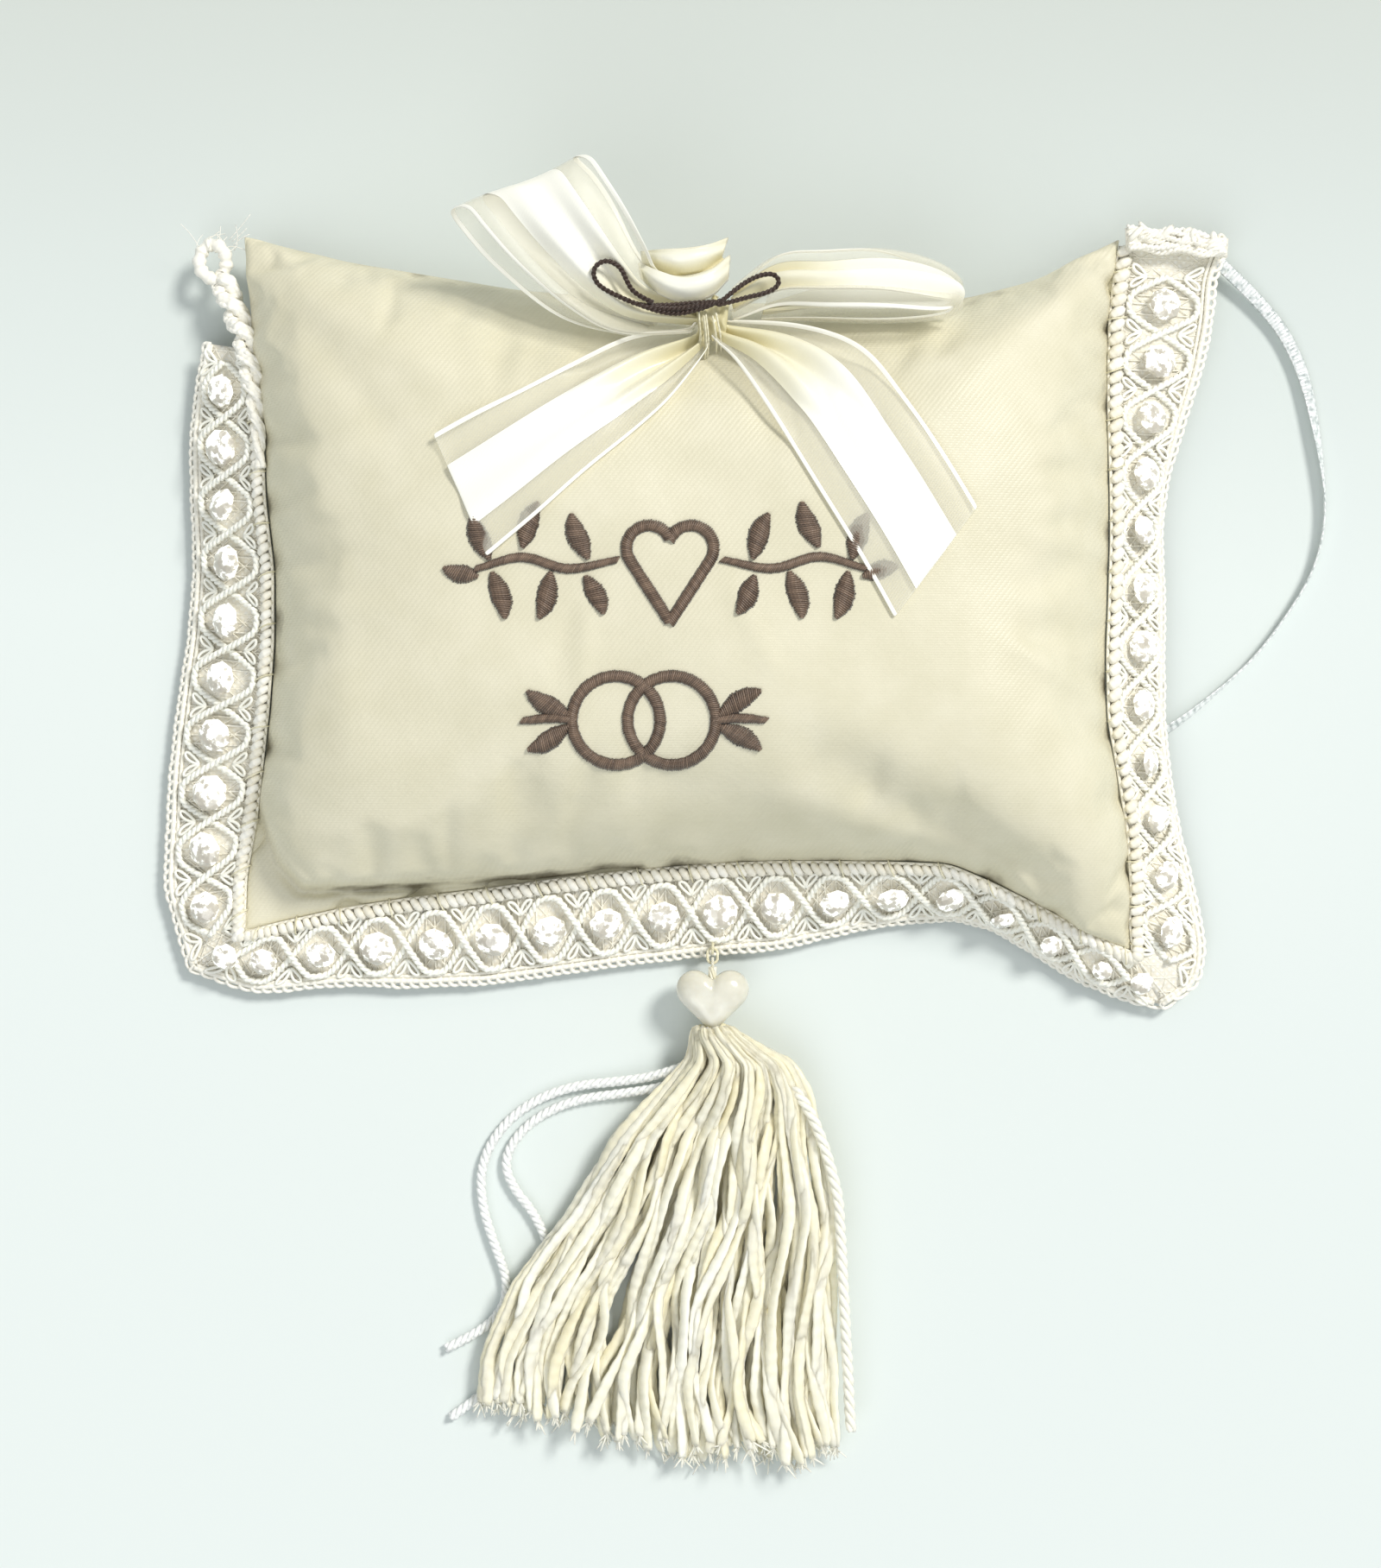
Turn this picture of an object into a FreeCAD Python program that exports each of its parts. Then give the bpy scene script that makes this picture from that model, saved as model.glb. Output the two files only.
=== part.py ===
# Ring bearer pillow: a small satin cushion edged on three sides with beaded braid, with a ribbon bow,
# a thin cord for the rings, satin-stitch embroidery, a hanging ribbon and a beaded tassel.
#
# Millimetres. The cushion lies on its back: +X is its right, +Y its top edge, +Z out of its front.
# The origin is the middle of the flat patch that it rests on, and the tassel lies towards -Y.

import FreeCAD, Part
import math
import os

import Sketcher
from FreeCAD import Base

V = Base.Vector
UP = V(0, 0, 1)

# ------------------------------------------------------------------ driving dimensions

CELLS = [
    ("seam_level", 12.0, "height of the cushion's edge seam"),
    ("crown_height", 37.2, "height of the stuffed front"),
    ("cover_cloth", 1.2, "satin cover with its interlining"),
    ("stuffing_gap", 0.3, "between the stuffing and the cover"),
    ("band_cloth", 0.8, "mesh ground of the braid"),
    ("gimp_height", 1.0, "gimp edge on the braid"),
    ("lattice_cord", 0.75, "height of one lattice cord"),
    ("lattice_width", 1.1, "width of one lattice cord"),
    ("lozenge_pitch", 10.4, "one lozenge of the lattice"),
    ("crystal_radius", 2.8, "faceted crystal, corner radius"),
    ("crystal_height", 1.4, "faceted crystal"),
    ("crystal_lift", 0.9, "thread seat under a crystal"),
    ("stitch_radius", 0.25, "sewing thread"),
    ("stitch_length", 1.8, "one trim stitch"),
    ("stitch_pitch", 9.0, "between two trim stitches"),
    ("thread_relief", 0.45, "satin stitch above the cover"),
    ("ribbon_cloth", 0.4, "bow ribbon"),
    ("knot_width", 5.5, "ribbon wrapped round the bow's centre"),
    ("knot_length", 9.0, "the same, along its width"),
    ("knot_depth", 4.4, "the same, front to back"),
    ("ring_cord", 1.1, "cord that the rings are tied with"),
    ("hanger_ribbon", 2.5, "hanging ribbon"),
    ("tack_radius", 1.6, "thread tack at each end of the hanger"),
    ("tack_length", 2.0, "the same"),
    ("link_thread", 0.3, "radius of the thread in the tassel's links"),
    ("link_radius", 0.9, "centre line radius of the links"),
    ("link_level", 5.9, "height of the links"),
    ("link_reach", 0.9, "straight side of the middle link"),
    ("stem_radius", 0.8, "tassel cord through the bead"),
    ("bead_level", 6.9, "height of the bead's bore"),
    ("bead_thickness", 7.0, "heart bead"),
    ("lobe_radius", 3.5, "round of each lobe"),
    ("lobe_offset", 3.2, "lobe centre from the bead's axis"),
    ("bead_point", 8.0, "lobe centres to the point"),
    ("bead_corner", 1.5, "round in the notch and on the point"),
    ("bead_edge", 1.2, "round on the bead's rims"),
    ("bore_radius", 1.2, "bore of the bead"),
    ("neck_radius", 3.0, "thread wrapped round the tassel's neck"),
    ("neck_waist", 2.6, "the same, at its middle"),
    ("neck_length", 1.6, "the same"),
    ("chain_cord", 1.9, "white cord on the tassel"),
]

doc = FreeCAD.newDocument("ring_bearer_pillow")
sheet = doc.addObject("Spreadsheet::Sheet", "Sizes")
for row, (alias, value, note) in enumerate(CELLS, start=1):
    sheet.set(f"A{row}", note)
    sheet.set(f"B{row}", str(value))
    sheet.setAlias(f"B{row}", alias)
doc.recompute()


def size(alias):
    return float(getattr(sheet, alias))


def bind(obj, prop, formula):
    """Bind a property to the sheet. Each alias in the formula is written with a leading $."""
    obj.setExpression(prop, formula.replace("$", "Sizes."))


# ------------------------------------------------------------------ places and outlines

# The cushion's outline, side by side. It pulls in between its four pointed corners.
CUSHION_CENTRE = V(0, 1, 0)
CUSHION_SIDES = [
    [(-78.5, 65), (-62, 60.5), (-31, 55), (0, 52.5), (31, 52.5), (49.5, 53.5), (62, 57), (77, 64.5)],
    [(77, 64.5), (75, 40.5), (74.8, 10), (74, -15), (76.5, -32), (79, -64)],
    [(79, -64), (62, -55.5), (46.5, -48.3), (15.5, -48), (-23.5, -51), (-50, -54), (-81, -61)],
    [(-81, -61), (-77, -31), (-74.5, -5), (-76, 17), (-78, 39), (-78.5, 65)],
]
SEAM_EASE = 0.99                       # the cover stays this much inside the braid

# Both halves swell from the seam as a quarter of a superellipse: angles of their levels, in degrees.
FRONT_ANGLES = (0, 12, 24, 36, 48, 60, 72, 84)
BACK_ANGLES = (0, 15, 30, 45, 58)
SWELL = 0.87                           # under 1 is fuller than an ellipse

# The braid: inner edge on the seam, outer edge hanging towards the surface that the cushion lies on.
LEFT_BRAID = [
    ((-79.5, 44.5, 9), (-87.5, 46, 5)), ((-78, 39, 11), (-89, 39.5, 3.5)),
    ((-76.5, 29, 13), (-90.5, 30.5, 2.5)), ((-76, 17, 13.5), (-90.5, 18.5, 2)),
    ((-74.5, 4.5, 13.5), (-90, 6, 2)), ((-74.5, -8, 13), (-91, -6.5, 2)),
    ((-75.5, -20.5, 12), (-93, -19, 2)), ((-77, -31, 10), (-94.5, -31, 2)),
    ((-78.5, -41, 8), (-95, -42, 2)), ((-80.5, -50.5, 7), (-95.5, -53, 2)),
    ((-81, -61, 7), (-91, -67.5, 2)),
]
BOTTOM_BRAID = [
    ((-81, -61, 7), (-91, -67.5, 2)), ((-75.5, -59.5, 7), (-79.5, -71.5, 2)),
    ((-62.5, -56.5, 8), (-63, -70, 2)), ((-50, -54.5, 8), (-50.5, -70.5, 2)),
    ((-37.5, -53, 8), (-37, -70, 1.6)), ((-23.5, -51, 8), (-23, -68, 1.6)),
    ((-9.5, -49.5, 7.5), (-9, -66, 1.6)), ((4, -48.5, 7), (4.5, -64.5, 1.6)),
    ((15.5, -48, 7.5), (16, -63.5, 1.6)), ((27.5, -48, 9), (28, -60.5, 1.6)),
    ((38, -48, 11), (39, -58.5, 1.6)), ((46.5, -48.3, 12), (48, -58, 1.6)),
    ((54, -51.5, 12), (54.5, -59.5, 1.6)), ((62, -55.5, 10), (61, -63, 1.6)),
    ((70, -60, 8), (69.5, -68.5, 1.6)), ((79.5, -64.5, 7), (79, -72.5, 2)),
    ((80, -64.5, 7), (86, -74.5, 2)),
]
RIGHT_BRAID = [
    ((80, -64.5, 7), (86, -74.5, 2)), ((80, -63, 7), (92.5, -70.5, 2)),
    ((79.5, -59, 7.5), (93.5, -64, 2.5)), ((79.5, -51.5, 9), (91.5, -54.5, 3)),
    ((78.5, -42, 11), (88.5, -43, 3.5)), ((76.5, -32, 13), (86.5, -32.5, 4)),
    ((74.5, -22, 14.5), (85.5, -22, 4)), ((74.2, -11, 15), (85.5, -10.5, 4)),
    ((74.6, -0.5, 15), (85.5, 0.5, 4)), ((75, 10.5, 14.5), (85, 11.5, 4)),
    ((75, 20.5, 14), (86, 21, 4)), ((75, 31, 12), (89, 31, 4.5)),
    ((75.2, 40.5, 10), (92.5, 41, 5)), ((75.7, 51, 8.5), (94.5, 50, 5)),
    ((76.7, 58, 7.5), (95, 57.5, 5)), ((77.5, 63.5, 7), (97, 62.5, 5)),
]

# The ribbon: its two edges, from the centre of the bow outwards, and on a loop back to the centre.
LEFT_LOOP = [
    ((0, 44, 32.5), (5, 50.5, 31.5)), ((-12.5, 44, 33.5), (-5, 54, 35)),
    ((-21.5, 48.5, 35), (-7.5, 58, 38)), ((-30, 55.5, 37), (-11, 64.5, 39.5)),
    ((-35.5, 61.5, 38), (-14.5, 70, 40)), ((-38.5, 65, 37), (-17, 73.5, 39)),
    ((-41.5, 65, 34), (-19.5, 74, 36)), ((-40, 62.5, 31), (-16.5, 71.5, 33)),
    ((-34, 56, 29.5), (-13, 66.5, 31)), ((-22.5, 47, 29.7), (-8.5, 57.5, 30)),
    ((-9, 43.7, 30.5), (-1.5, 50, 29.5)),
]
RIGHT_LOOP = [
    ((7, 47, 32), (7.5, 52.5, 30)), ((15, 49.5, 33), (15, 59, 29)), ((24, 49, 35), (23.5, 60, 28)),
    ((34, 49, 36), (33, 60.5, 27)), ((42.5, 49, 35), (41.5, 58, 26)), ((46.5, 49.5, 32), (46, 54.5, 25)),
    ((45, 47.5, 29), (44, 54, 22)), ((36.5, 47, 27.5), (35, 56, 21)), ((24, 47, 27.5), (23, 55.5, 22)),
    ((12, 46.7, 28.3), (13.5, 51.5, 26)),
]
LEFT_TAIL = [
    ((2.5, 40.5, 31.5), (-1, 44, 30.5)), ((-3, 32.5, 35.6), (-10.5, 43, 31.5)),
    ((-9.5, 26.5, 37.3), (-20, 42, 33)), ((-18, 19.5, 38.2), (-30, 36.5, 35.3)),
    ((-26.5, 12, 38.3), (-37, 31.5, 36.8)), ((-35, 5, 38), (-44, 26.5, 36.8)),
]
RIGHT_TAIL = [
    ((4, 41.5, 31.5), (7.5, 45, 30)), ((8.5, 35.5, 34.9), (19.5, 44.5, 30.7)),
    ((15, 26.5, 37.4), (30, 41.5, 32.7)), ((22, 15.5, 38.4), (37.5, 35.5, 35.4)),
    ((29, 5, 38.3), (44, 24.5, 36.7)), ((35, -5.5, 38), (50, 13.5, 36.4)),
]
BOW_CENTRE = V(3.8, 45.3, 32)

# Routes of the cords: each point is a corner that an arc rounds off.
RING_CORD_LEFT = [(-9.5, 48.7, 37), (-14, 50.5, 37.3), (-16.5, 52.3, 38), (-16.7, 54.7, 38.7),
                  (-14.5, 56, 38.9), (-12, 54.8, 38.5), (-11, 52.5, 38)]
RING_CORD_WRAP = [(-9.5, 48.7, 37), (-5, 47.6, 36.9), (0, 47.8, 36.8), (5.5, 49.3, 36.5)]
RING_CORD_RIGHT = [(5.5, 49.3, 36.5), (8.5, 52, 36), (12, 54, 35), (14.7, 54.2, 34.6), (15.5, 52.4, 34.6),
                   (13.5, 50.9, 34.8), (9.5, 50, 35)]
HANGER = [
    (96, 61.5, 2.8), (100.5, 57.5, 2.1), (105, 53, 1.6), (109, 48, 1.4), (112.5, 40, 1.4),
    (114.5, 30.5, 1.4), (116, 21, 1.4), (116, 13, 1.4), (114, 5, 1.4), (109.5, -2.5, 1.4),
    (103.5, -10.5, 1.4), (96.5, -17, 1.4), (87, -24.5, 1.4), (79.5, -27, 1.4), (73, -24, 1.4),
    (69, -17.5, 1.4), (68, -8, 1.4), (68, 4, 1.4), (68.7, 18, 1.4), (68.3, 30, 1.4), (67.5, 40, 1.4),
    (64.5, 48.5, 1.4), (57.5, 52, 1.4), (47, 50.2, 1.4), (34, 48.5, 1.4), (18, 47.5, 1.4), (0, 46.8, 1.4),
    (-20, 47.5, 1.4), (-38, 50, 1.4), (-52, 54, 1.4), (-62, 57.5, 1.4), (-70, 60, 1.6), (-77, 61.8, 2.2),
]
OUTER_CORD = [
    (-0.5, -85, 4.2), (-5.5, -87, 3), (-12.5, -88.2, 1.8), (-21.3, -89, 1.2), (-29.2, -92, 1.1),
    (-35, -97, 1.1), (-38.4, -103.5, 1.1), (-38.2, -110.9, 1.1), (-35.9, -118, 1.1), (-33.4, -124.5, 1.1),
    (-34.2, -130, 1.1), (-38.5, -134.2, 1.1), (-44.7, -137.1, 1.1),
]
INNER_CORD = [
    (-0.3, -87.5, 3), (-5, -89.3, 2.2), (-12, -90.4, 1.5), (-20.5, -91.5, 1.1), (-27.2, -94.2, 1.1),
    (-32, -98.4, 1.1), (-34.2, -103.2, 1.1), (-32.3, -108, 1.1), (-28.6, -112.3, 1.1), (-26, -118, 1.1),
    (-25.2, -125, 1.1), (-27, -132.8, 1.1), (-31.5, -139.8, 1.1), (-37.4, -145.1, 1.1), (-43.8, -149.7, 1.1),
]

# The tassel: every piece is on the line x = TASSEL_X.
TASSEL_X = 4.0
EYELET_Y = -63.7
LOBES_Y = -71.0
NECK_Y = -78.9

# Sections of the skirt of strands: y, x of the middle, half width, height of the middle, half height, skew.
SKIRT_SECTIONS = [
    (-80.5, 4.5, 3.5, 6.6, 3.0, 0), (-84, 8.5, 9.5, 6.2, 5.0, 0), (-90, 7.5, 14, 6.0, 5.3, 0),
    (-98, 4.5, 18.5, 5.8, 5.4, 0), (-112, 2, 24, 5.2, 4.9, 0), (-127, -3, 29, 4.6, 4.3, -4),
    (-142, -5.5, 32, 4.0, 3.7, -7), (-150, -5, 33.5, 3.6, 3.3, -8),
]

# Embroidery: leaves as (x, y, length, width, direction in degrees), stems as points, rings as (x, y, radius).
UPPER_LEAVES = [
    (-36, 8.5, 8, 3.6, 110), (-33, -1.5, 8, 3.6, -75), (-27.5, 10.5, 8, 3.6, 70), (-25, -1.5, 8, 3.6, -105),
    (-19, 8.5, 8, 3.6, 110), (-16.5, -1.5, 7, 3.4, -65), (-39.5, 2.5, 6, 3.2, 165),
    (9.5, -1.5, 7, 3.4, -115), (12, 8.5, 8, 3.6, 70), (18, -1.5, 8, 3.6, -75), (20.5, 10.5, 8, 3.6, 110),
    (26, -1.5, 8, 3.6, -105), (29, 8.5, 8, 3.6, 70), (32.5, 2.5, 6, 3.2, 15),
]
UPPER_STEMS = [[(-37, 3), (-29, 5), (-21, 3), (-12.5, 4.5)], [(5.5, 4.5), (14, 3), (22, 5), (30, 3)]]
UPPER_HEART = (-3.5, 6.5, 3.9, -6.2)       # x, y of the lobes, lobe radius, y of the point
LOWER_RINGS = [(-12.8, -23, 7.6), (-3.2, -23, 7.6)]
LOWER_LEAVES = [(-24.5, -20, 8, 3.4, 150), (-24.5, -26, 8, 3.4, -150), (8.5, -20, 8, 3.4, 30),
                (8.5, -26, 8, 3.4, -30)]
LOWER_STEMS = [[(-29, -23), (-24, -22.6), (-20, -23)], [(4, -23), (8, -22.6), (13, -23)]]
BAND_OF_THREAD = 2.2                      # width of the satin-stitched rings and heart
STEM_OF_THREAD = 1.1


# ------------------------------------------------------------------ helpers

def feature(label, shape, placement=None):
    """A sub-part whose shape is made with Part's functions."""
    obj = doc.addObject("Part::Feature", label)
    obj.Label = label
    obj.Shape = shape
    if placement is not None:
        obj.Placement = placement
    return obj


def primitive(kind, label, placement, **formulas):
    """A Part primitive with its sizes bound to the sheet."""
    obj = doc.addObject(kind, label)
    obj.Label = label
    for prop, formula in formulas.items():
        bind(obj, prop, formula)
    obj.Placement = placement
    return obj


def origin_plane(body, role):
    return next(item for item in body.Origin.OriginFeatures if item.Role == role)


def sketch_on(body, role, name):
    sketch = body.newObject("Sketcher::SketchObject", name)
    sketch.AttachmentSupport = [(origin_plane(body, role), "")]
    sketch.MapMode = "FlatFace"
    return sketch


def turn_to(direction):
    """The rotation that takes +Z to the direction."""
    return FreeCAD.Rotation(UP, direction)


def outline(share, level):
    """The cushion's outline at a share of its size, as a closed wire at the level."""
    edges = []
    for side in CUSHION_SIDES:
        points = []
        for x, y in side:
            flat = (V(x, y, 0) - CUSHION_CENTRE) * (share * SEAM_EASE) + CUSHION_CENTRE
            points.append(V(flat.x, flat.y, level))
        curve = Part.BSplineCurve()
        curve.interpolate(points)
        edges.append(curve.toShape())
    return Part.Wire(edges)


def half_cushion(angles, rise, inset, ruled):
    """One half of the cushion, from the seam to the crown or the base, set in by the inset."""
    half_width = 78.0
    full_rise = math.sin(math.radians(angles[-1])) ** SWELL
    wires = []
    for angle in angles:
        share = math.cos(math.radians(angle)) ** SWELL - inset / half_width
        height = math.sin(math.radians(angle)) ** SWELL / full_rise
        wires.append(outline(share, size("seam_level") + height * (rise - math.copysign(inset, rise))))
    return Part.makeLoft(wires, True, ruled)


def station_at(stations, distance):
    """The inner and outer edge of a strip at a distance along its middle."""
    travelled = 0.0
    for (inner_a, outer_a), (inner_b, outer_b) in zip(stations, stations[1:]):
        ia, oa, ib, ob = V(*inner_a), V(*outer_a), V(*inner_b), V(*outer_b)
        step = ((ib + ob) * 0.5 - (ia + oa) * 0.5).Length
        if travelled + step >= distance:
            part = (distance - travelled) / step
            return ia + (ib - ia) * part, oa + (ob - oa) * part
        travelled += step
    return V(*stations[-1][0]), V(*stations[-1][1])


def strip_length(stations):
    middles = [(V(*inner) + V(*outer)) * 0.5 for inner, outer in stations]
    return sum((b - a).Length for a, b in zip(middles, middles[1:]))


def strip_normal(inner, outer):
    """Upward normal of a strip, in the upright plane through its width."""
    across = (outer - inner).normalize()
    return (UP - across * UP.dot(across)).normalize()


def solid_through(sections):
    """A solid that runs through four-cornered sections, corner to corner."""
    faces = []
    for before, after in zip(sections, sections[1:]):
        for index in range(4):
            following = (index + 1) % 4
            near_edge = Part.makeLine(before[index], before[following])
            far_edge = Part.makeLine(after[index], after[following])
            faces.append(Part.makeRuledSurface(near_edge, far_edge))
    for section in (sections[0], sections[-1]):
        faces.append(Part.Face(Part.makePolygon(section + section[:1])))
    shell = Part.makeShell(faces)
    shell.sewShape()
    solid = Part.Solid(shell)
    if solid.Volume < 0:
        solid.reverse()
    return solid


def cross_section(inner, outer, near, far, low, high):
    """Corners of a strip's section: near to far as shares of its width, low to high above its face."""
    normal = strip_normal(inner, outer)
    across = outer - inner
    corners = [(near, low), (far, low), (far, high), (near, high)]
    return [inner + across * share + normal * lift for share, lift in corners]


def strip(stations, near, far, low, high):
    """A strip of constant make along the stations."""
    return solid_through([cross_section(V(*inner), V(*outer), near, far, low, high)
                          for inner, outer in stations])


def ribbon(stations, thickness):
    """A ribbon between its two edges. Its faces turn over where a loop turns."""
    middles = [(V(*a) + V(*b)) * 0.5 for a, b in stations]
    sections = []
    for index, (edge_a, edge_b) in enumerate(stations):
        a, b = V(*edge_a), V(*edge_b)
        ahead = middles[min(index + 1, len(middles) - 1)] - middles[max(index - 1, 0)]
        normal = (b - a).cross(ahead).normalize() * -thickness
        sections.append([a, b, b + normal, a + normal])
    return solid_through(sections)


def cord_path(points, label, diameter):
    """Straight runs joined by tangent arcs, each arc as large as its two runs allow."""
    corners = [V(*point) for point in points]
    edges, radii = [], []
    start = corners[0]
    for before, corner, after in zip(corners, corners[1:], corners[2:]):
        back, ahead = before - corner, after - corner
        half_turn = (math.pi - back.getAngle(ahead)) / 2
        reach = 0.45 * min(back.Length, ahead.Length)
        radii.append(reach / math.tan(half_turn))
        entry = corner + back.normalize() * reach
        leave = corner + ahead.normalize() * reach
        to_centre = (back + ahead).normalize()
        depth = radii[-1] / math.cos(half_turn) - radii[-1]
        edges.append(Part.LineSegment(start, entry).toShape())
        edges.append(Part.Arc(entry, corner + to_centre * depth, leave).toShape())
        start = leave
    edges.append(Part.LineSegment(start, corners[-1]).toShape())
    path = Part.Wire(edges)
    print(f"{label}: length {path.Length:.1f}, smallest radius {min(radii):.1f}, diameter {diameter:.1f}")
    return path


def cord(label, points, diameter):
    path = cord_path(points, label, diameter)
    first = V(*points[1]) - V(*points[0])
    profile = Part.Wire(Part.makeCircle(diameter / 2, V(*points[0]), first))
    tube = path.makePipeShell([profile], True, True)
    expected = math.pi * diameter ** 2 / 4 * path.Length
    if abs(tube.Volume - expected) > 0.02 * expected:
        raise RuntimeError(f"{label}: volume {tube.Volume:.1f}, expected {expected:.1f}")
    return feature(label, tube)


# ------------------------------------------------------------------ cushion

seam_level = size("seam_level")
front_rise = size("crown_height") - seam_level
cloth = size("cover_cloth")

front_outside = half_cushion(FRONT_ANGLES, front_rise, 0.0, False)
front_inside = half_cushion(FRONT_ANGLES, front_rise, cloth, False)
back_outside = half_cushion(BACK_ANGLES, -seam_level, 0.0, True)
back_inside = half_cushion(BACK_ANGLES, -seam_level, cloth, True)


def cover(label, outside, inside):
    """A cover is the outer form with the inner form cut out of it."""
    outer = doc.addObject("Part::Feature", label + "_outside")
    outer.Shape = outside
    inner = doc.addObject("Part::Feature", label + "_inside")
    inner.Shape = inside
    cut = doc.addObject("Part::Cut", label)
    cut.Label = label
    cut.Base = outer
    cut.Tool = inner
    return cut


front_cover = cover("front_cover", front_outside, front_inside)
back_cover = cover("back_cover", back_outside, back_inside)

stuffing_inset = cloth + size("stuffing_gap")
stuffing_front = doc.addObject("Part::Feature", "stuffing_upper")
stuffing_front.Shape = half_cushion(FRONT_ANGLES, front_rise, stuffing_inset, False)
stuffing_back = doc.addObject("Part::Feature", "stuffing_lower")
stuffing_back.Shape = half_cushion(BACK_ANGLES, -seam_level, stuffing_inset, True)
stuffing = doc.addObject("Part::Fuse", "stuffing")
stuffing.Label = "stuffing"
stuffing.Base = stuffing_front
stuffing.Tool = stuffing_back


# ------------------------------------------------------------------ braid

GROUND_CLEAR = 0.12                    # between pieces laid one on another
GIMP_SHARE = 0.1                       # of the braid's width
PICOT_FROM, PICOT_TO = 0.92, 1.0
LATTICE_SWING = 0.32                   # of the braid's width, each side of its middle
SAMPLES_PER_LOZENGE = 4


def lattice_cord(stations, side, low):
    """One of the two crossing cords: it swings from side to side once in two lozenges."""
    length = strip_length(stations)
    lozenges = int((length - 6) / size("lozenge_pitch"))
    margin = (length - lozenges * size("lozenge_pitch")) / 2
    sections = []
    for sample in range(lozenges * SAMPLES_PER_LOZENGE + 1):
        turns = sample / SAMPLES_PER_LOZENGE
        inner, outer = station_at(stations, margin + turns * size("lozenge_pitch"))
        middle = 0.5 + side * LATTICE_SWING * math.sin(math.pi * turns)
        half = size("lattice_width") / 2 / (outer - inner).Length
        sections.append(cross_section(inner, outer, middle - half, middle + half, low,
                                      low + size("lattice_cord")))
    return solid_through(sections)


def crystals(stations):
    """A faceted crystal in the middle of each lozenge, smaller where the braid is rolled narrow."""
    length = strip_length(stations)
    pitch = size("lozenge_pitch")
    lozenges = int((length - 6) / pitch)
    margin = (length - lozenges * pitch) / 2
    facets = 8
    table_share = 0.6
    solids = []
    for count in range(lozenges):
        inner, outer = station_at(stations, margin + (count + 0.5) * pitch)
        normal = strip_normal(inner, outer)
        radius = min(size("crystal_radius"), 0.16 * (outer - inner).Length)
        centre = (inner + outer) * 0.5 + normal * (size("band_cloth") + size("crystal_lift"))
        along = (outer - inner).normalize()
        aside = normal.cross(along)
        rings = []
        for ring_radius, lift in ((radius, 0.0), (radius * table_share, size("crystal_height"))):
            corners = []
            for facet in range(facets + 1):
                angle = 2 * math.pi * facet / facets
                corners.append(centre + normal * lift + along * (ring_radius * math.cos(angle))
                               + aside * (ring_radius * math.sin(angle)))
            rings.append(Part.makePolygon(corners))
        solids.append(Part.makeLoft(rings, True, True))
    return Part.makeCompound(solids)


def stitches(stations):
    """Short sewing stitches over the gimp, along the seam."""
    length = strip_length(stations)
    count = int(length / size("stitch_pitch"))
    level = size("band_cloth") + size("gimp_height") + size("stitch_radius") + 2 * GROUND_CLEAR
    solids = []
    for index in range(count):
        inner, outer = station_at(stations, (index + 0.5) * length / count)
        normal = strip_normal(inner, outer)
        across = (outer - inner).normalize()
        solids.append(Part.makeCylinder(size("stitch_radius"), size("stitch_length"),
                                       inner + normal * level, across))
    return solids


for side_name, stations in (("left", LEFT_BRAID), ("bottom", BOTTOM_BRAID), ("right", RIGHT_BRAID)):
    ground = size("band_cloth")
    on_ground = ground + GROUND_CLEAR
    second_layer = on_ground + size("lattice_cord") + GROUND_CLEAR
    feature(f"{side_name}_braid_ground", strip(stations, 0.0, 1.0, 0.0, ground))
    feature(f"{side_name}_braid_gimp",
            strip(stations, 0.0, GIMP_SHARE, on_ground, on_ground + size("gimp_height")))
    feature(f"{side_name}_braid_picots",
            strip(stations, PICOT_FROM, PICOT_TO, on_ground, on_ground + size("lattice_cord")))
    feature(f"{side_name}_braid_lattice", Part.makeCompound([
        lattice_cord(stations, 1, on_ground), lattice_cord(stations, -1, second_layer)]))
    feature(f"{side_name}_braid_crystals", crystals(stations))

trim_stitches = []
for stations in (LEFT_BRAID, BOTTOM_BRAID, RIGHT_BRAID):
    trim_stitches.extend(stitches(stations))
feature("trim_stitches", Part.makeCompound(trim_stitches))

# The braid's free end at the top left is twisted like a rope.
TWIST_FROM = V(-86, 62.5, 6)
TWIST_TO = V(-83.2, 45.8, 7.4)
TWIST_WIDTHS = (3.2, 7.2)
TWIST_DEPTH = 1.8
TWIST_TURN = 320.0
TWIST_STEPS = 16


def twisted_end():
    axis = TWIST_TO - TWIST_FROM
    heading = V(axis).normalize()
    wires = []
    for step in range(TWIST_STEPS + 1):
        part = step / TWIST_STEPS
        width = TWIST_WIDTHS[0] + (TWIST_WIDTHS[1] - TWIST_WIDTHS[0]) * part
        roll = FreeCAD.Rotation(heading, TWIST_TURN * (1 - part))
        across = roll.multVec(V(1, 0, 0)) * (width / 2)
        above = heading.cross(V(across).normalize()) * (TWIST_DEPTH / 2)
        middle = TWIST_FROM + axis * part
        corners = [middle - across - above, middle + across - above, middle + across + above,
                   middle - across + above]
        wires.append(Part.makePolygon(corners + corners[:1]))
    return Part.makeLoft(wires, True, True)


feature("left_braid_twisted_end", twisted_end())

# At the top right the braid's end is folded over itself.
FOLD = [((78.5, 62.2, 7), (78.3, 66.2, 7.4)), ((88, 61.8, 6.3), (88, 66, 6.8)),
        ((97, 61.2, 5.4), (97.2, 64.6, 5.6))]
FOLD_LOW, FOLD_HIGH = 2.6, 3.8
feature("right_braid_folded_end", strip(FOLD, 0.0, 1.0, FOLD_LOW, FOLD_HIGH))


# ------------------------------------------------------------------ embroidery

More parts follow.
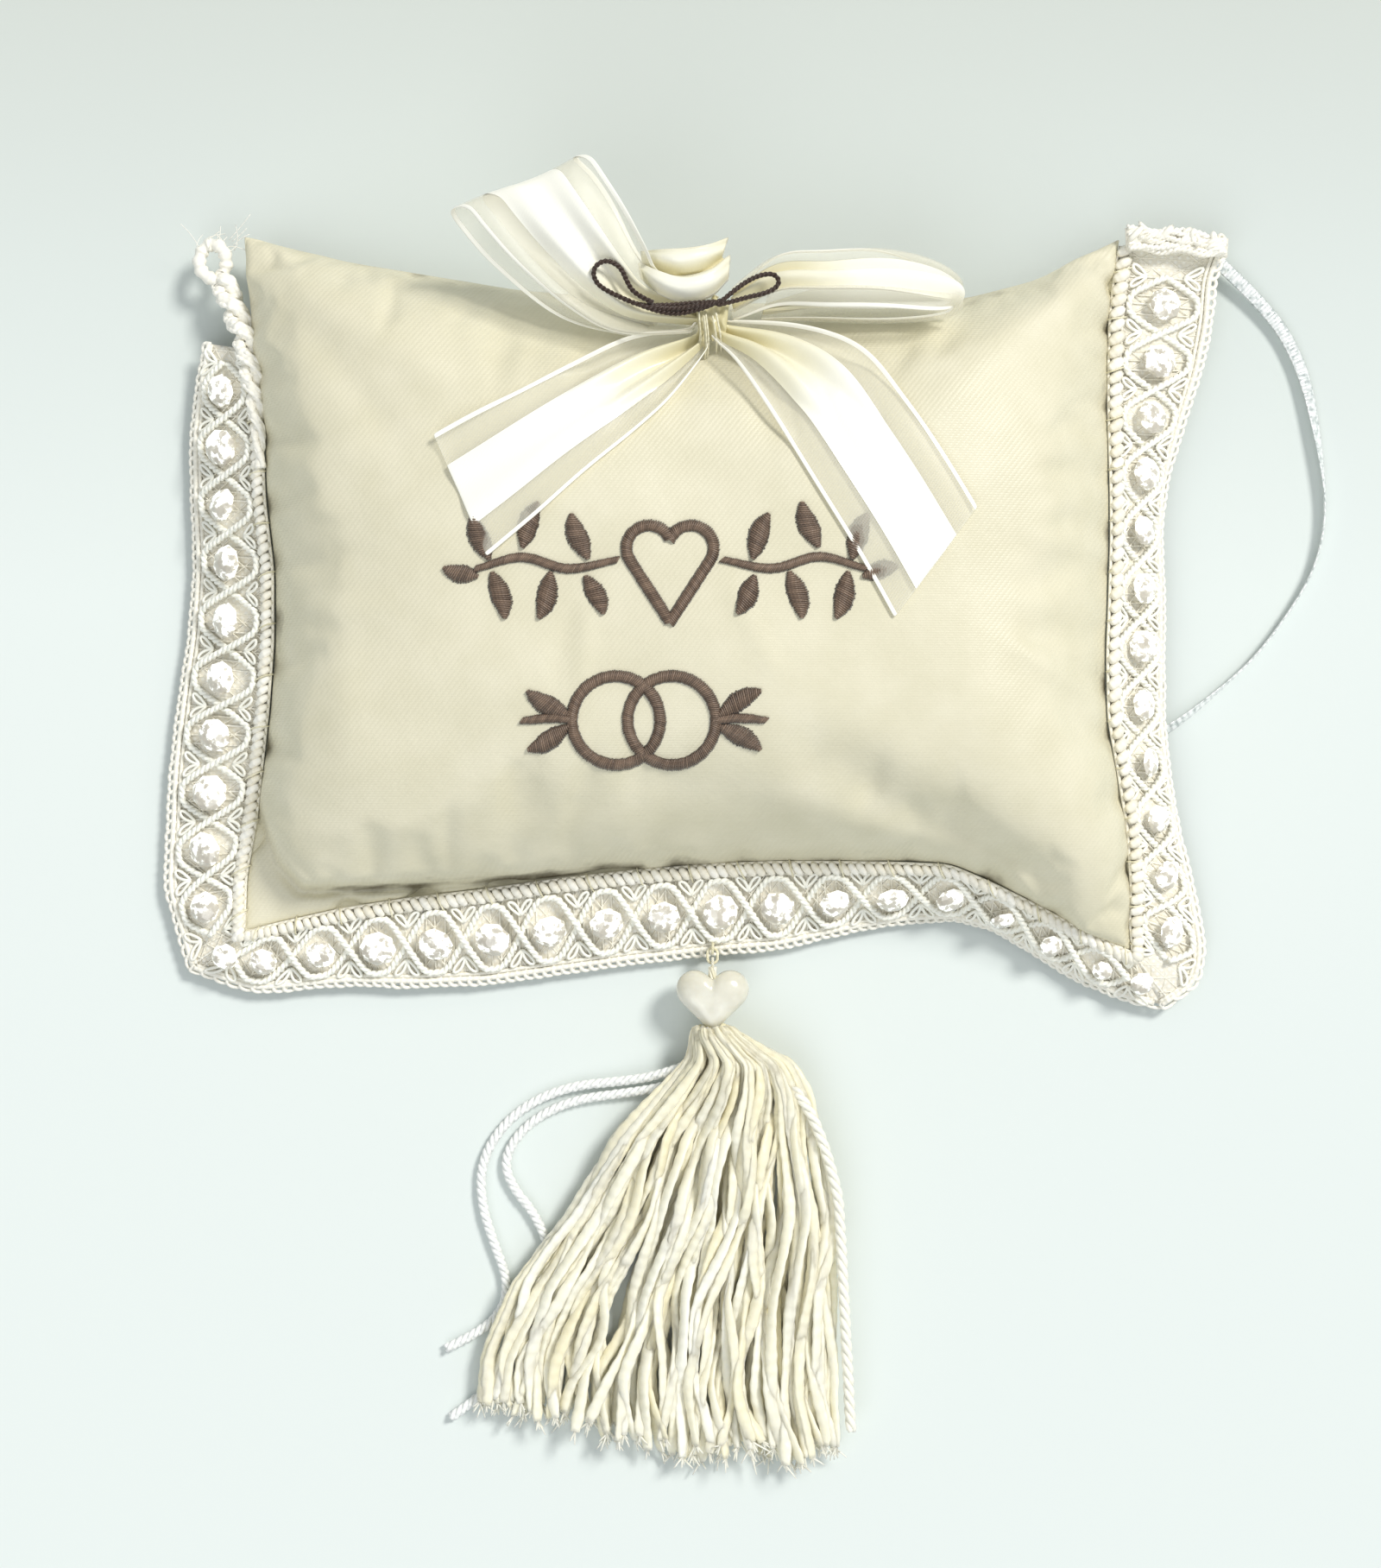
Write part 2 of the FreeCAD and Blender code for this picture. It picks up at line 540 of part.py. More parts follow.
def leaf(x, y, length, width, direction):
    """A pointed leaf: two arcs from tip to tip."""
    along = V(math.cos(math.radians(direction)), math.sin(math.radians(direction)), 0) * (length / 2)
    aside = V(-along.y, along.x, 0).normalize() * (width / 2)
    middle = V(x, y, 0)
    edges = [Part.Arc(middle - along, middle + aside, middle + along).toShape(),
             Part.Arc(middle + along, middle - aside, middle - along).toShape()]
    return Part.Face(Part.Wire(edges))


def stem(points):
    """A narrow band that follows the points."""
    curve = Part.BSplineCurve()
    curve.interpolate([V(x, y, 0) for x, y in points])
    half = V(0, STEM_OF_THREAD / 2, 0)
    lower, upper = curve.toShape(), curve.toShape()
    lower.translate(half * -1)
    upper.translate(half)
    return Part.makeRuledSurface(lower, upper)


def thread_ring(x, y, radius):
    disc, window = [Part.Face(Part.Wire(Part.makeCircle(each, V(x, y, 0))))
                    for each in (radius, radius - BAND_OF_THREAD)]
    return disc.cut(window)


def heart_face(x, y, lobe, point, inset):
    """A heart of two lobes and a point, drawn in by the inset."""
    radius = lobe - inset
    tip = V(x, point + 1.5 * inset, 0)
    reach = V(-lobe, tip.y - y, 0)
    touch = math.atan2(reach.y, reach.x) + math.acos(radius / reach.Length)
    right_touch = V(x + lobe + radius * math.cos(touch), y + radius * math.sin(touch), 0)
    left_touch = V(2 * x - right_touch.x, right_touch.y, 0)
    middle = V(x, y + 0.4 * radius, 0)
    whole = Part.Face(Part.makePolygon([left_touch, tip, right_touch, middle, left_touch]))
    for centre in (V(x - lobe, y, 0), V(x + lobe, y, 0)):
        whole = whole.fuse(Part.Face(Part.Wire(Part.makeCircle(radius, centre))))
    return whole.removeSplitter()


def satin_stitch(label, faces):
    """Stitching on the front cover: it follows the cover and stands a little above it."""
    deep = 30.0
    prisms = []
    for face in faces:
        prism = face.extrude(V(0, 0, deep))
        prism.translate(V(0, 0, seam_level + 4))
        prisms.append(prism)
    drawing = prisms[0].fuse(prisms[1:]).removeSplitter()
    raised = front_outside.copy()
    raised.translate(V(0, 0, size("thread_relief") + GROUND_CLEAR))
    lowered = front_outside.copy()
    lowered.translate(V(0, 0, GROUND_CLEAR))
    feature(label, drawing.common(raised).cut(lowered))


heart_x, heart_y, heart_lobe, heart_point = UPPER_HEART
whole_heart = heart_face(heart_x, heart_y, heart_lobe, heart_point, 0.0)
heart_window = heart_face(heart_x, heart_y, heart_lobe, heart_point, BAND_OF_THREAD)
satin_stitch("embroidery_upper_row", [leaf(*item) for item in UPPER_LEAVES]
             + [stem(points) for points in UPPER_STEMS] + [whole_heart.cut(heart_window)])
satin_stitch("embroidery_lower_row", [leaf(*item) for item in LOWER_LEAVES]
             + [stem(points) for points in LOWER_STEMS] + [thread_ring(*item) for item in LOWER_RINGS])


# ------------------------------------------------------------------ bow

ribbon_cloth = size("ribbon_cloth")
feature("bow_left_loop", ribbon(LEFT_LOOP, ribbon_cloth))
feature("bow_right_loop", ribbon(RIGHT_LOOP, ribbon_cloth))
feature("bow_left_tail", strip(LEFT_TAIL, 0.0, 1.0, 0.0, ribbon_cloth))
feature("bow_right_tail", strip(RIGHT_TAIL, 0.0, 1.0, 0.0, ribbon_cloth))

knot_block = primitive("Part::Box", "knot_block", FreeCAD.Placement(BOW_CENTRE, FreeCAD.Rotation()),
                       Length="$knot_width", Width="$knot_length", Height="$knot_depth")
bind(knot_block, "Placement.Base.x", f"{BOW_CENTRE.x} - $knot_width / 2")
bind(knot_block, "Placement.Base.y", f"{BOW_CENTRE.y} - $knot_length / 2")
bind(knot_block, "Placement.Base.z", f"{BOW_CENTRE.z} - $knot_depth / 2")
doc.recompute()
bow_knot = doc.addObject("Part::Fillet", "bow_centre_wrap")
bow_knot.Label = "bow_centre_wrap"
bow_knot.Base = knot_block
KNOT_ROUND = 1.6
bow_knot.Edges = [(index + 1, KNOT_ROUND, KNOT_ROUND) for index in range(len(knot_block.Shape.Edges))]

TACK_BOTTOM = 27.2
primitive("Part::Cylinder", "bow_tack_thread",
          FreeCAD.Placement(V(BOW_CENTRE.x, BOW_CENTRE.y, TACK_BOTTOM), FreeCAD.Rotation()),
          Radius="$stitch_radius * 2", Height=f"{BOW_CENTRE.z - TACK_BOTTOM} - $knot_depth / 2")

cord("ring_cord_left_loop", RING_CORD_LEFT, size("ring_cord"))
cord("ring_cord_wrap", RING_CORD_WRAP, size("ring_cord"))
cord("ring_cord_right_loop", RING_CORD_RIGHT, size("ring_cord"))


# ------------------------------------------------------------------ hanger

cord("hanger_ribbon", HANGER, size("hanger_ribbon"))


def tack(label, end, beside):
    """A thread tack that the end of the hanger runs into, in line with its last run."""
    outward = (V(*end) - V(*beside)).normalize()
    primitive("Part::Cylinder", label, FreeCAD.Placement(V(*end), turn_to(outward)),
              Radius="$tack_radius", Height="$tack_length")


tack("hanger_tack_right", HANGER[0], HANGER[1])
tack("hanger_tack_left", HANGER[-1], HANGER[-2])


# ------------------------------------------------------------------ tassel links

link_level = size("link_level")
link_radius = size("link_radius")
LINK_NEAR_Y = EYELET_Y - link_radius                  # centre of the middle link's near round
LINK_FAR_Y = LINK_NEAR_Y - size("link_reach")         # centre of its far round, the swing axis
STEM_RING_Y = LINK_FAR_Y - link_radius                # centre of the stem's ring, which hangs on it
STALK_Y = EYELET_Y + 0.4
STALK_FOOT = 3.9                                      # on the picots

upright = FreeCAD.Rotation(V(0, 1, 0), 90)
eyelet_ring = primitive("Part::Torus", "eyelet_ring",
                        FreeCAD.Placement(V(TASSEL_X, EYELET_Y, link_level), upright),
                        Radius1="$link_radius", Radius2="$link_thread")
eyelet_stalk = primitive("Part::Cylinder", "eyelet_stalk",
                         FreeCAD.Placement(V(TASSEL_X, STALK_Y, STALK_FOOT), FreeCAD.Rotation()),
                         Radius="$link_thread", Height=f"$link_level - $link_radius - {STALK_FOOT}")
eyelet = doc.addObject("Part::Fuse", "tassel_eyelet")
eyelet.Label = "tassel_eyelet"
eyelet.Base = eyelet_ring
eyelet.Tool = eyelet_stalk


def middle_link():
    """A closed thread: two half rounds and two straight sides, lying flat."""
    near, far = LINK_NEAR_Y, LINK_FAR_Y
    left, right = TASSEL_X - link_radius, TASSEL_X + link_radius
    z = link_level
    edges = [
        Part.Arc(V(right, near, z), V(TASSEL_X, near + link_radius, z), V(left, near, z)).toShape(),
        Part.LineSegment(V(left, near, z), V(left, far, z)).toShape(),
        Part.Arc(V(left, far, z), V(TASSEL_X, far - link_radius, z), V(right, far, z)).toShape(),
        Part.LineSegment(V(right, far, z), V(right, near, z)).toShape(),
    ]
    solids = []
    for edge in edges:
        start = edge.valueAt(edge.FirstParameter)
        heading = edge.tangentAt(edge.FirstParameter)
        profile = Part.Wire(Part.makeCircle(size("link_thread"), start, heading))
        solids.append(Part.Wire(edge).makePipeShell([profile], True, True))
    return solids[0].fuse(solids[1:]).removeSplitter()


feature("tassel_thread_loop", middle_link())


# ------------------------------------------------------------------ tassel

stem_ring = primitive("Part::Torus", "stem_ring",
                      FreeCAD.Placement(V(TASSEL_X, STEM_RING_Y, link_level), upright),
                      Radius1="$link_radius", Radius2="$link_thread")
STEM_LAP = 0.3                                        # the stem's cord runs this far over its ring
stem_start = STEM_RING_Y - link_radius + STEM_LAP
stem_cord = primitive("Part::Cylinder", "stem_cord",
                      FreeCAD.Placement(V(TASSEL_X, stem_start, size("bead_level")),
                                        turn_to(V(0, -1, 0))),
                      Radius="$stem_radius", Height=f"{stem_start - NECK_Y}")
tassel_stem = doc.addObject("Part::Fuse", "tassel_stem")
tassel_stem.Label = "tassel_stem"
tassel_stem.Base = stem_ring
tassel_stem.Tool = stem_cord


def neck_wrap():
    """Thread wrapped round the neck: a waisted drum, turned about the tassel's axis."""
    body = doc.addObject("PartDesign::Body", "tassel_neck_wrap")
    body.Label = "tassel_neck_wrap"
    sketch = sketch_on(body, "XY_Plane", "neck_profile")
    radius, waist, length = size("neck_radius"), size("neck_waist"), size("neck_length")
    corners = [V(0, 0, 0), V(radius, 0, 0), V(waist, -length / 2, 0), V(radius, -length, 0), V(0, -length, 0)]
    count = len(corners)
    for index in range(count):
        sketch.addGeometry(Part.LineSegment(corners[index], corners[(index + 1) % count]), False)
    for index in range(count):
        sketch.addConstraint(Sketcher.Constraint("Coincident", index, 2, (index + 1) % count, 1))
    sketch.addConstraint(Sketcher.Constraint("Coincident", 0, 1, -1, 1))
    sketch.addConstraint(Sketcher.Constraint("Horizontal", 0))
    sketch.addConstraint(Sketcher.Constraint("Horizontal", 3))
    sketch.addConstraint(Sketcher.Constraint("Vertical", 4))
    named = [("radius", Sketcher.Constraint("DistanceX", 0, 1, 0, 2, radius), "$neck_radius"),
             ("radius_below", Sketcher.Constraint("DistanceX", 3, 2, 3, 1, radius), "$neck_radius"),
             ("waist", Sketcher.Constraint("DistanceX", 0, 1, 1, 2, waist), "$neck_waist"),
             ("waist_at", Sketcher.Constraint("DistanceY", 1, 2, 0, 1, length / 2), "$neck_length / 2"),
             ("length", Sketcher.Constraint("DistanceY", 3, 2, 0, 1, length), "$neck_length")]
    for name, constraint, formula in named:
        sketch.renameConstraint(sketch.addConstraint(constraint), name)
        bind(sketch, "Constraints." + name, formula)
    turned = body.newObject("PartDesign::Revolution", "neck_turned")
    turned.Profile = sketch
    turned.ReferenceAxis = (sketch, ["V_Axis"])
    turned.Angle = 360
    body.Placement = FreeCAD.Placement(V(TASSEL_X, NECK_Y, size("bead_level")), FreeCAD.Rotation())
    return body


def heart_bead():
    """A flat heart with rounded rims, bored from the notch to the point."""
    body = doc.addObject("PartDesign::Body", "heart_bead")
    body.Label = "heart_bead"
    radius, offset, point = size("lobe_radius"), size("lobe_offset"), size("bead_point")
    sketch = sketch_on(body, "XY_Plane", "heart_profile")
    bind(sketch, ".AttachmentOffset.Base.z", "-$bead_thickness / 2")
    notch_angle = math.acos(offset / radius)
    reach = math.hypot(offset, point)
    touch_angle = math.atan2(-point, -offset) + math.acos(radius / reach)
    right_touch = V(offset + radius * math.cos(touch_angle), radius * math.sin(touch_angle), 0)
    left_touch = V(-right_touch.x, right_touch.y, 0)
    tip = V(0, -point, 0)
    right_lobe = Part.ArcOfCircle(Part.Circle(V(offset, 0, 0), UP, radius), touch_angle, math.pi - notch_angle)
    left_lobe = Part.ArcOfCircle(Part.Circle(V(-offset, 0, 0), UP, radius), notch_angle,
                                 math.pi - touch_angle)
    sketch.addGeometry(right_lobe, False)
    sketch.addGeometry(left_lobe, False)
    sketch.addGeometry(Part.LineSegment(left_touch, tip), False)
    sketch.addGeometry(Part.LineSegment(tip, right_touch), False)
    sketch.addConstraint(Sketcher.Constraint("Coincident", 0, 2, 1, 1))
    sketch.addConstraint(Sketcher.Constraint("Tangent", 1, 2, 2, 1))
    sketch.addConstraint(Sketcher.Constraint("Coincident", 2, 2, 3, 1))
    sketch.addConstraint(Sketcher.Constraint("Tangent", 3, 2, 0, 1))
    sketch.addConstraint(Sketcher.Constraint("PointOnObject", 0, 3, -1))
    sketch.addConstraint(Sketcher.Constraint("PointOnObject", 1, 3, -1))
    sketch.addConstraint(Sketcher.Constraint("PointOnObject", 2, 2, -2))
    named = [("right_round", Sketcher.Constraint("Radius", 0, radius), "$lobe_radius"),
             ("left_round", Sketcher.Constraint("Radius", 1, radius), "$lobe_radius"),
             ("right_place", Sketcher.Constraint("DistanceX", -1, 1, 0, 3, offset), "$lobe_offset"),
             ("left_place", Sketcher.Constraint("DistanceX", 1, 3, -1, 1, offset), "$lobe_offset"),
             ("point", Sketcher.Constraint("DistanceY", 2, 2, -1, 1, point), "$bead_point")]
    for name, constraint, formula in named:
        sketch.renameConstraint(sketch.addConstraint(constraint), name)
        bind(sketch, "Constraints." + name, formula)
    pad = body.newObject("PartDesign::Pad", "heart_pad")
    pad.Profile = sketch
    bind(pad, "Length", "$bead_thickness")
    doc.recompute()
    upright_edges = [f"Edge{index + 1}" for index, edge in enumerate(pad.Shape.Edges)
                     if abs(edge.CenterOfMass.z) < 0.01 and abs(edge.CenterOfMass.x) < 0.01]
    corners = body.newObject("PartDesign::Fillet", "notch_and_point")
    corners.Base = (pad, upright_edges)
    bind(corners, "Radius", "$bead_corner")
    doc.recompute()
    flat_edges = [f"Edge{index + 1}" for index, edge in enumerate(corners.Shape.Edges)
                  if abs(abs(edge.CenterOfMass.z) - size("bead_thickness") / 2) < 0.01]
    rims = body.newObject("PartDesign::Fillet", "heart_rims")
    rims.Base = (corners, flat_edges)
    bind(rims, "Radius", "$bead_edge")
    doc.recompute()
    hole = sketch_on(body, "XZ_Plane", "bore_profile")
    hole.addGeometry(Part.Circle(V(0, 0, 0), UP, size("bore_radius")), False)
    hole.addConstraint(Sketcher.Constraint("Coincident", 0, 3, -1, 1))
    hole.renameConstraint(hole.addConstraint(Sketcher.Constraint("Radius", 0, size("bore_radius"))), "bore")
    bind(hole, "Constraints.bore", "$bore_radius")
    solid_volume = rims.Shape.Volume
    bore = body.newObject("PartDesign::Pocket", "bore")
    bore.Profile = hole
    bore.Type = "ThroughAll"
    bore.Midplane = True
    doc.recompute()
    if bore.Shape.Volume > solid_volume - 1:
        raise RuntimeError("the bore of the bead cut nothing")
    body.Placement = FreeCAD.Placement(V(TASSEL_X, LOBES_Y, size("bead_level")), FreeCAD.Rotation())
    return body


def skirt():
    """The hanging strands as one closed form, lofted through flat ovals."""
    wires = []
    for y, x, half_width, z, half_height, skew in SKIRT_SECTIONS:
        oval = Part.Ellipse(V(0, 0, 0), half_width, half_height).toShape()
        stand = FreeCAD.Rotation(V(1, 0, 0), 90)
        turned = FreeCAD.Rotation(UP, skew).multiply(stand)
        oval.Placement = FreeCAD.Placement(V(x, y, z), turned)
        wires.append(Part.Wire(oval))
    return Part.makeLoft(wires, True, True)


neck_wrap()
heart_bead()
feature("tassel_skirt", skirt())
cord("tassel_outer_cord", OUTER_CORD, size("chain_cord"))
cord("tassel_inner_cord", INNER_CORD, size("chain_cord"))


# ------------------------------------------------------------------ check and write

BRAID_PIECES = ("ground", "gimp", "picots", "lattice", "crystals")
NODES = ["front_cover", "back_cover", "stuffing"]
NODES += [f"{side}_braid_{piece}" for side in ("left", "bottom", "right") for piece in BRAID_PIECES]
NODES += ["trim_stitches", "left_braid_twisted_end", "right_braid_folded_end", "embroidery_upper_row",
          "embroidery_lower_row", "bow_left_loop", "bow_right_loop", "bow_left_tail", "bow_right_tail",
          "bow_centre_wrap", "bow_tack_thread", "ring_cord_left_loop", "ring_cord_wrap",
          "ring_cord_right_loop", "hanger_ribbon", "hanger_tack_right", "hanger_tack_left",
          "tassel_eyelet", "tassel_thread_loop", "tassel_stem", "heart_bead", "tassel_neck_wrap",
          "tassel_skirt", "tassel_outer_cord", "tassel_inner_cord"]

doc.recompute()
for obj in doc.Objects:
    if "Invalid" in obj.State or "Error" in obj.State:
        raise RuntimeError(f"{obj.Name} failed: {obj.State}")

os.makedirs("parts", exist_ok=True)
shapes = {}
for node in NODES:
    shape = doc.getObject(node).Shape
    if shape.isNull() or not shape.isValid() or shape.Volume <= 0:
        raise RuntimeError(f"{node} has no valid solid")
    shapes[node] = shape
for node, shape in shapes.items():
    shape.exportStep(f"parts/{node}.step")
    box = shape.optimalBoundingBox()
    print(f"{node}: {len(shape.Solids)} solid(s), {shape.Volume:.1f} mm3, z {box.ZMin:.2f} to {box.ZMax:.2f}")
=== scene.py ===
# Ring bearer pillow: its looks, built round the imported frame.
#
# Metres, in the frame's own axes: +X is the cushion's right, +Y its top edge, +Z out of its front.
# It lies on a floor at z = 0, and the tassel lies towards -Y. Named lengths are in metres, and lists of
# places that pass through metres() are written in millimetres.

import math

import bpy
import numpy as np
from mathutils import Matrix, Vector
from mathutils.bvhtree import BVHTree


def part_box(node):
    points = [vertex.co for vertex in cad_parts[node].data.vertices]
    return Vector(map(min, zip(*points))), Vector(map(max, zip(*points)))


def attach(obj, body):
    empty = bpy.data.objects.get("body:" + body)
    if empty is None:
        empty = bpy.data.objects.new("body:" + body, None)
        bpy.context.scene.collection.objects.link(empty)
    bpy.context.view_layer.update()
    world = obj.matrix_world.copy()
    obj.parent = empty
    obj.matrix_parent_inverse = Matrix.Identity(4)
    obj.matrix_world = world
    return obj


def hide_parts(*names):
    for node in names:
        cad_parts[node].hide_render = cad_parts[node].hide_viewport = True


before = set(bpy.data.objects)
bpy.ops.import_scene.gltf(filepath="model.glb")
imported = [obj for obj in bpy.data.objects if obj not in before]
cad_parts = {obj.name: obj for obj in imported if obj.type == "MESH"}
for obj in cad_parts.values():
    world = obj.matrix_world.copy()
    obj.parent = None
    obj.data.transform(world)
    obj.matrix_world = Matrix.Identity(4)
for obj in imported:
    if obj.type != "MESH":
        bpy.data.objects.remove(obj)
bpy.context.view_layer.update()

MM = 0.001
UP = np.array([0.0, 0.0, 1.0])
rng = np.random.default_rng(11)
scene = bpy.context.scene

# ------------------------------------------------------------------ camera

camera = bpy.data.objects.new("camera", bpy.data.cameras.new("camera"))
camera.location = (0.0, -0.0339, 0.6)      # straight above the middle of the whole part
camera.data.lens = 75.2
scene.collection.objects.link(camera)
scene.camera = camera

# ------------------------------------------------------------------ routes and outlines


def metres(values):
    """Millimetres, in lists and tuples nested as they come, as metres."""
    if isinstance(values, (list, tuple)):
        return type(values)(metres(value) for value in values)
    return values / 1000


# The middle line of each cord, from where it leaves the object.
HANGER = metres([
    (96, 61.5, 2.8), (100.5, 57.5, 2.1), (105, 53, 1.6), (109, 48, 1.4), (112.5, 40, 1.4),
    (114.5, 30.5, 1.4), (116, 21, 1.4), (116, 13, 1.4), (114, 5, 1.4), (109.5, -2.5, 1.4),
    (103.5, -10.5, 1.4), (96.5, -17, 1.4), (87, -24.5, 1.4), (79.5, -27, 1.4), (73, -24, 1.4),
    (69, -17.5, 1.4), (68, -8, 1.4), (68, 4, 1.4), (68.7, 18, 1.4), (68.3, 30, 1.4), (67.5, 40, 1.4),
    (64.5, 48.5, 1.4), (57.5, 52, 1.4), (47, 50.2, 1.4), (34, 48.5, 1.4), (18, 47.5, 1.4), (0, 46.8, 1.4),
    (-20, 47.5, 1.4), (-38, 50, 1.4), (-52, 54, 1.4), (-62, 57.5, 1.4), (-70, 60, 1.6), (-77, 61.8, 2.2),
])
OUTER_CORD = metres([
    (-0.5, -85, 4.2), (-5.5, -87, 3), (-12.5, -88.2, 1.8), (-21.3, -89, 1.2), (-29.2, -92, 1.1),
    (-35, -97, 1.1), (-38.4, -103.5, 1.1), (-38.2, -110.9, 1.1), (-35.9, -118, 1.1), (-33.4, -124.5, 1.1),
    (-34.2, -130, 1.1), (-38.5, -134.2, 1.1), (-44.7, -137.1, 1.1),
])
INNER_CORD = metres([
    (-0.3, -87.5, 3), (-5, -89.3, 2.2), (-12, -90.4, 1.5), (-20.5, -91.5, 1.1), (-27.2, -94.2, 1.1),
    (-32, -98.4, 1.1), (-34.2, -103.2, 1.1), (-32.3, -108, 1.1), (-28.6, -112.3, 1.1), (-26, -118, 1.1),
    (-25.2, -125, 1.1), (-27, -132.8, 1.1), (-31.5, -139.8, 1.1), (-37.4, -145.1, 1.1),
    (-43.8, -149.7, 1.1),
])
# The ring cord in three runs: its left loop, its wrapped middle and its right loop.
RING_CORD_LEFT = metres([
    (-9.5, 48.7, 37), (-14, 50.5, 37.3), (-16.5, 52.3, 38), (-16.7, 54.7, 38.7), (-14.5, 56, 38.9),
    (-12, 54.8, 38.5), (-11, 52.5, 38),
])
RING_CORD_WRAP = metres([
    (-9.5, 48.7, 37), (-5, 47.6, 36.9), (0, 47.8, 36.8), (5.5, 49.3, 36.5),
])
RING_CORD_RIGHT = metres([
    (5.5, 49.3, 36.5), (8.5, 52, 36), (12, 54, 35), (14.7, 54.2, 34.6), (15.5, 52.4, 34.6),
    (13.5, 50.9, 34.8), (9.5, 50, 35),
])
# Each run of braid as its inner edge on the seam and its outer edge, place by place.
LEFT_BRAID = metres([
    ((-79.5, 44.5, 9), (-87.5, 46, 5)), ((-78, 39, 11), (-89, 39.5, 3.5)),
    ((-76.5, 29, 13), (-90.5, 30.5, 2.5)), ((-76, 17, 13.5), (-90.5, 18.5, 2)),
    ((-74.5, 4.5, 13.5), (-90, 6, 2)), ((-74.5, -8, 13), (-91, -6.5, 2)),
    ((-75.5, -20.5, 12), (-93, -19, 2)), ((-77, -31, 10), (-94.5, -31, 2)),
    ((-78.5, -41, 8), (-95, -42, 2)), ((-80.5, -50.5, 7), (-95.5, -53, 2)),
    ((-81, -61, 7), (-91, -67.5, 2)),
])
BOTTOM_BRAID = metres([
    ((-81, -61, 7), (-91, -67.5, 2)), ((-75.5, -59.5, 7), (-79.5, -71.5, 2)),
    ((-62.5, -56.5, 8), (-63, -70, 2)), ((-50, -54.5, 8), (-50.5, -70.5, 2)),
    ((-37.5, -53, 8), (-37, -70, 1.6)), ((-23.5, -51, 8), (-23, -68, 1.6)),
    ((-9.5, -49.5, 7.5), (-9, -66, 1.6)), ((4, -48.5, 7), (4.5, -64.5, 1.6)),
    ((15.5, -48, 7.5), (16, -63.5, 1.6)), ((27.5, -48, 9), (28, -60.5, 1.6)),
    ((38, -48, 11), (39, -58.5, 1.6)), ((46.5, -48.3, 12), (48, -58, 1.6)),
    ((54, -51.5, 12), (54.5, -59.5, 1.6)), ((62, -55.5, 10), (61, -63, 1.6)),
    ((70, -60, 8), (69.5, -68.5, 1.6)), ((79.5, -64.5, 7), (79, -72.5, 2)),
    ((80, -64.5, 7), (86, -74.5, 2)),
])
RIGHT_BRAID = metres([
    ((80, -64.5, 7), (86, -74.5, 2)), ((80, -63, 7), (92.5, -70.5, 2)),
    ((79.5, -59, 7.5), (93.5, -64, 2.5)), ((79.5, -51.5, 9), (91.5, -54.5, 3)),
    ((78.5, -42, 11), (88.5, -43, 3.5)), ((76.5, -32, 13), (86.5, -32.5, 4)),
    ((74.5, -22, 14.5), (85.5, -22, 4)), ((74.2, -11, 15), (85.5, -10.5, 4)),
    ((74.6, -0.5, 15), (85.5, 0.5, 4)), ((75, 10.5, 14.5), (85, 11.5, 4)), ((75, 20.5, 14), (86, 21, 4)),
    ((75, 31, 12), (89, 31, 4.5)), ((75.2, 40.5, 10), (92.5, 41, 5)), ((75.7, 51, 8.5), (94.5, 50, 5)),
    ((76.7, 58, 7.5), (95, 57.5, 5)), ((77.5, 63.5, 7), (97, 62.5, 5)),
])
# The bow's ribbon in the same way, by its two edges, from the knot on.
LEFT_LOOP = metres([
    ((0, 44, 32.5), (5, 50.5, 31.5)), ((-12.5, 44, 33.5), (-5, 54, 35)),
    ((-21.5, 48.5, 35), (-7.5, 58, 38)), ((-30, 55.5, 37), (-11, 64.5, 39.5)),
    ((-35.5, 61.5, 38), (-14.5, 70, 40)), ((-38.5, 65, 37), (-17, 73.5, 39)),
    ((-41.5, 65, 34), (-19.5, 74, 36)), ((-40, 62.5, 31), (-16.5, 71.5, 33)),
    ((-34, 56, 29.5), (-13, 66.5, 31)), ((-22.5, 47, 29.7), (-8.5, 57.5, 30)),
    ((-9, 43.7, 30.5), (-1.5, 50, 29.5)),
])
RIGHT_LOOP = metres([
    ((7, 47, 32), (7.5, 52.5, 30)), ((15, 49.5, 33), (15, 59, 29)), ((24, 49, 35), (23.5, 60, 28)),
    ((34, 49, 36), (33, 60.5, 27)), ((42.5, 49, 35), (41.5, 58, 26)), ((46.5, 49.5, 32), (46, 54.5, 25)),
    ((45, 47.5, 29), (44, 54, 22)), ((36.5, 47, 27.5), (35, 56, 21)), ((24, 47, 27.5), (23, 55.5, 22)),
    ((12, 46.7, 28.3), (13.5, 51.5, 26)),
])
LEFT_TAIL = metres([
    ((3.5, 43.2, 33), (1.2, 46.2, 32.5)), ((2.8, 40.5, 32.8), (-1, 44.6, 31.5)),
    ((-3, 32.5, 35.6), (-10.5, 43.4, 31.5)), ((-9.5, 26.5, 37.3), (-20.5, 38.6, 34)),
    ((-18, 19.5, 38.2), (-30, 33.6, 35.8)), ((-26.5, 12, 38.3), (-37.3, 29.9, 37)),
    ((-35, 5, 38), (-44.3, 26.2, 37)),
])
RIGHT_TAIL = metres([
    ((3.2, 43.8, 33), (6.2, 46.6, 32)), ((4.8, 41.8, 32.8), (8.5, 46.3, 31)),
    ((8.5, 37.5, 34.9), (20.5, 45.3, 30.7)), ((15, 27.8, 37.4), (30.3, 41.5, 32.7)),
    ((22, 16.3, 38.4), (37.5, 32.2, 35.6)), ((29, 5, 38.3), (43.8, 22.9, 36.7)),
    ((35, -5.5, 38), (49.5, 13.8, 36.4)),
])
# The cushion's top seam.
TOP_EDGE = metres([
    (-78.5, 65), (-62, 60.5), (-31, 55), (0, 52.5), (31, 52.5), (49.5, 53.5), (62, 57), (77, 64.5),
])
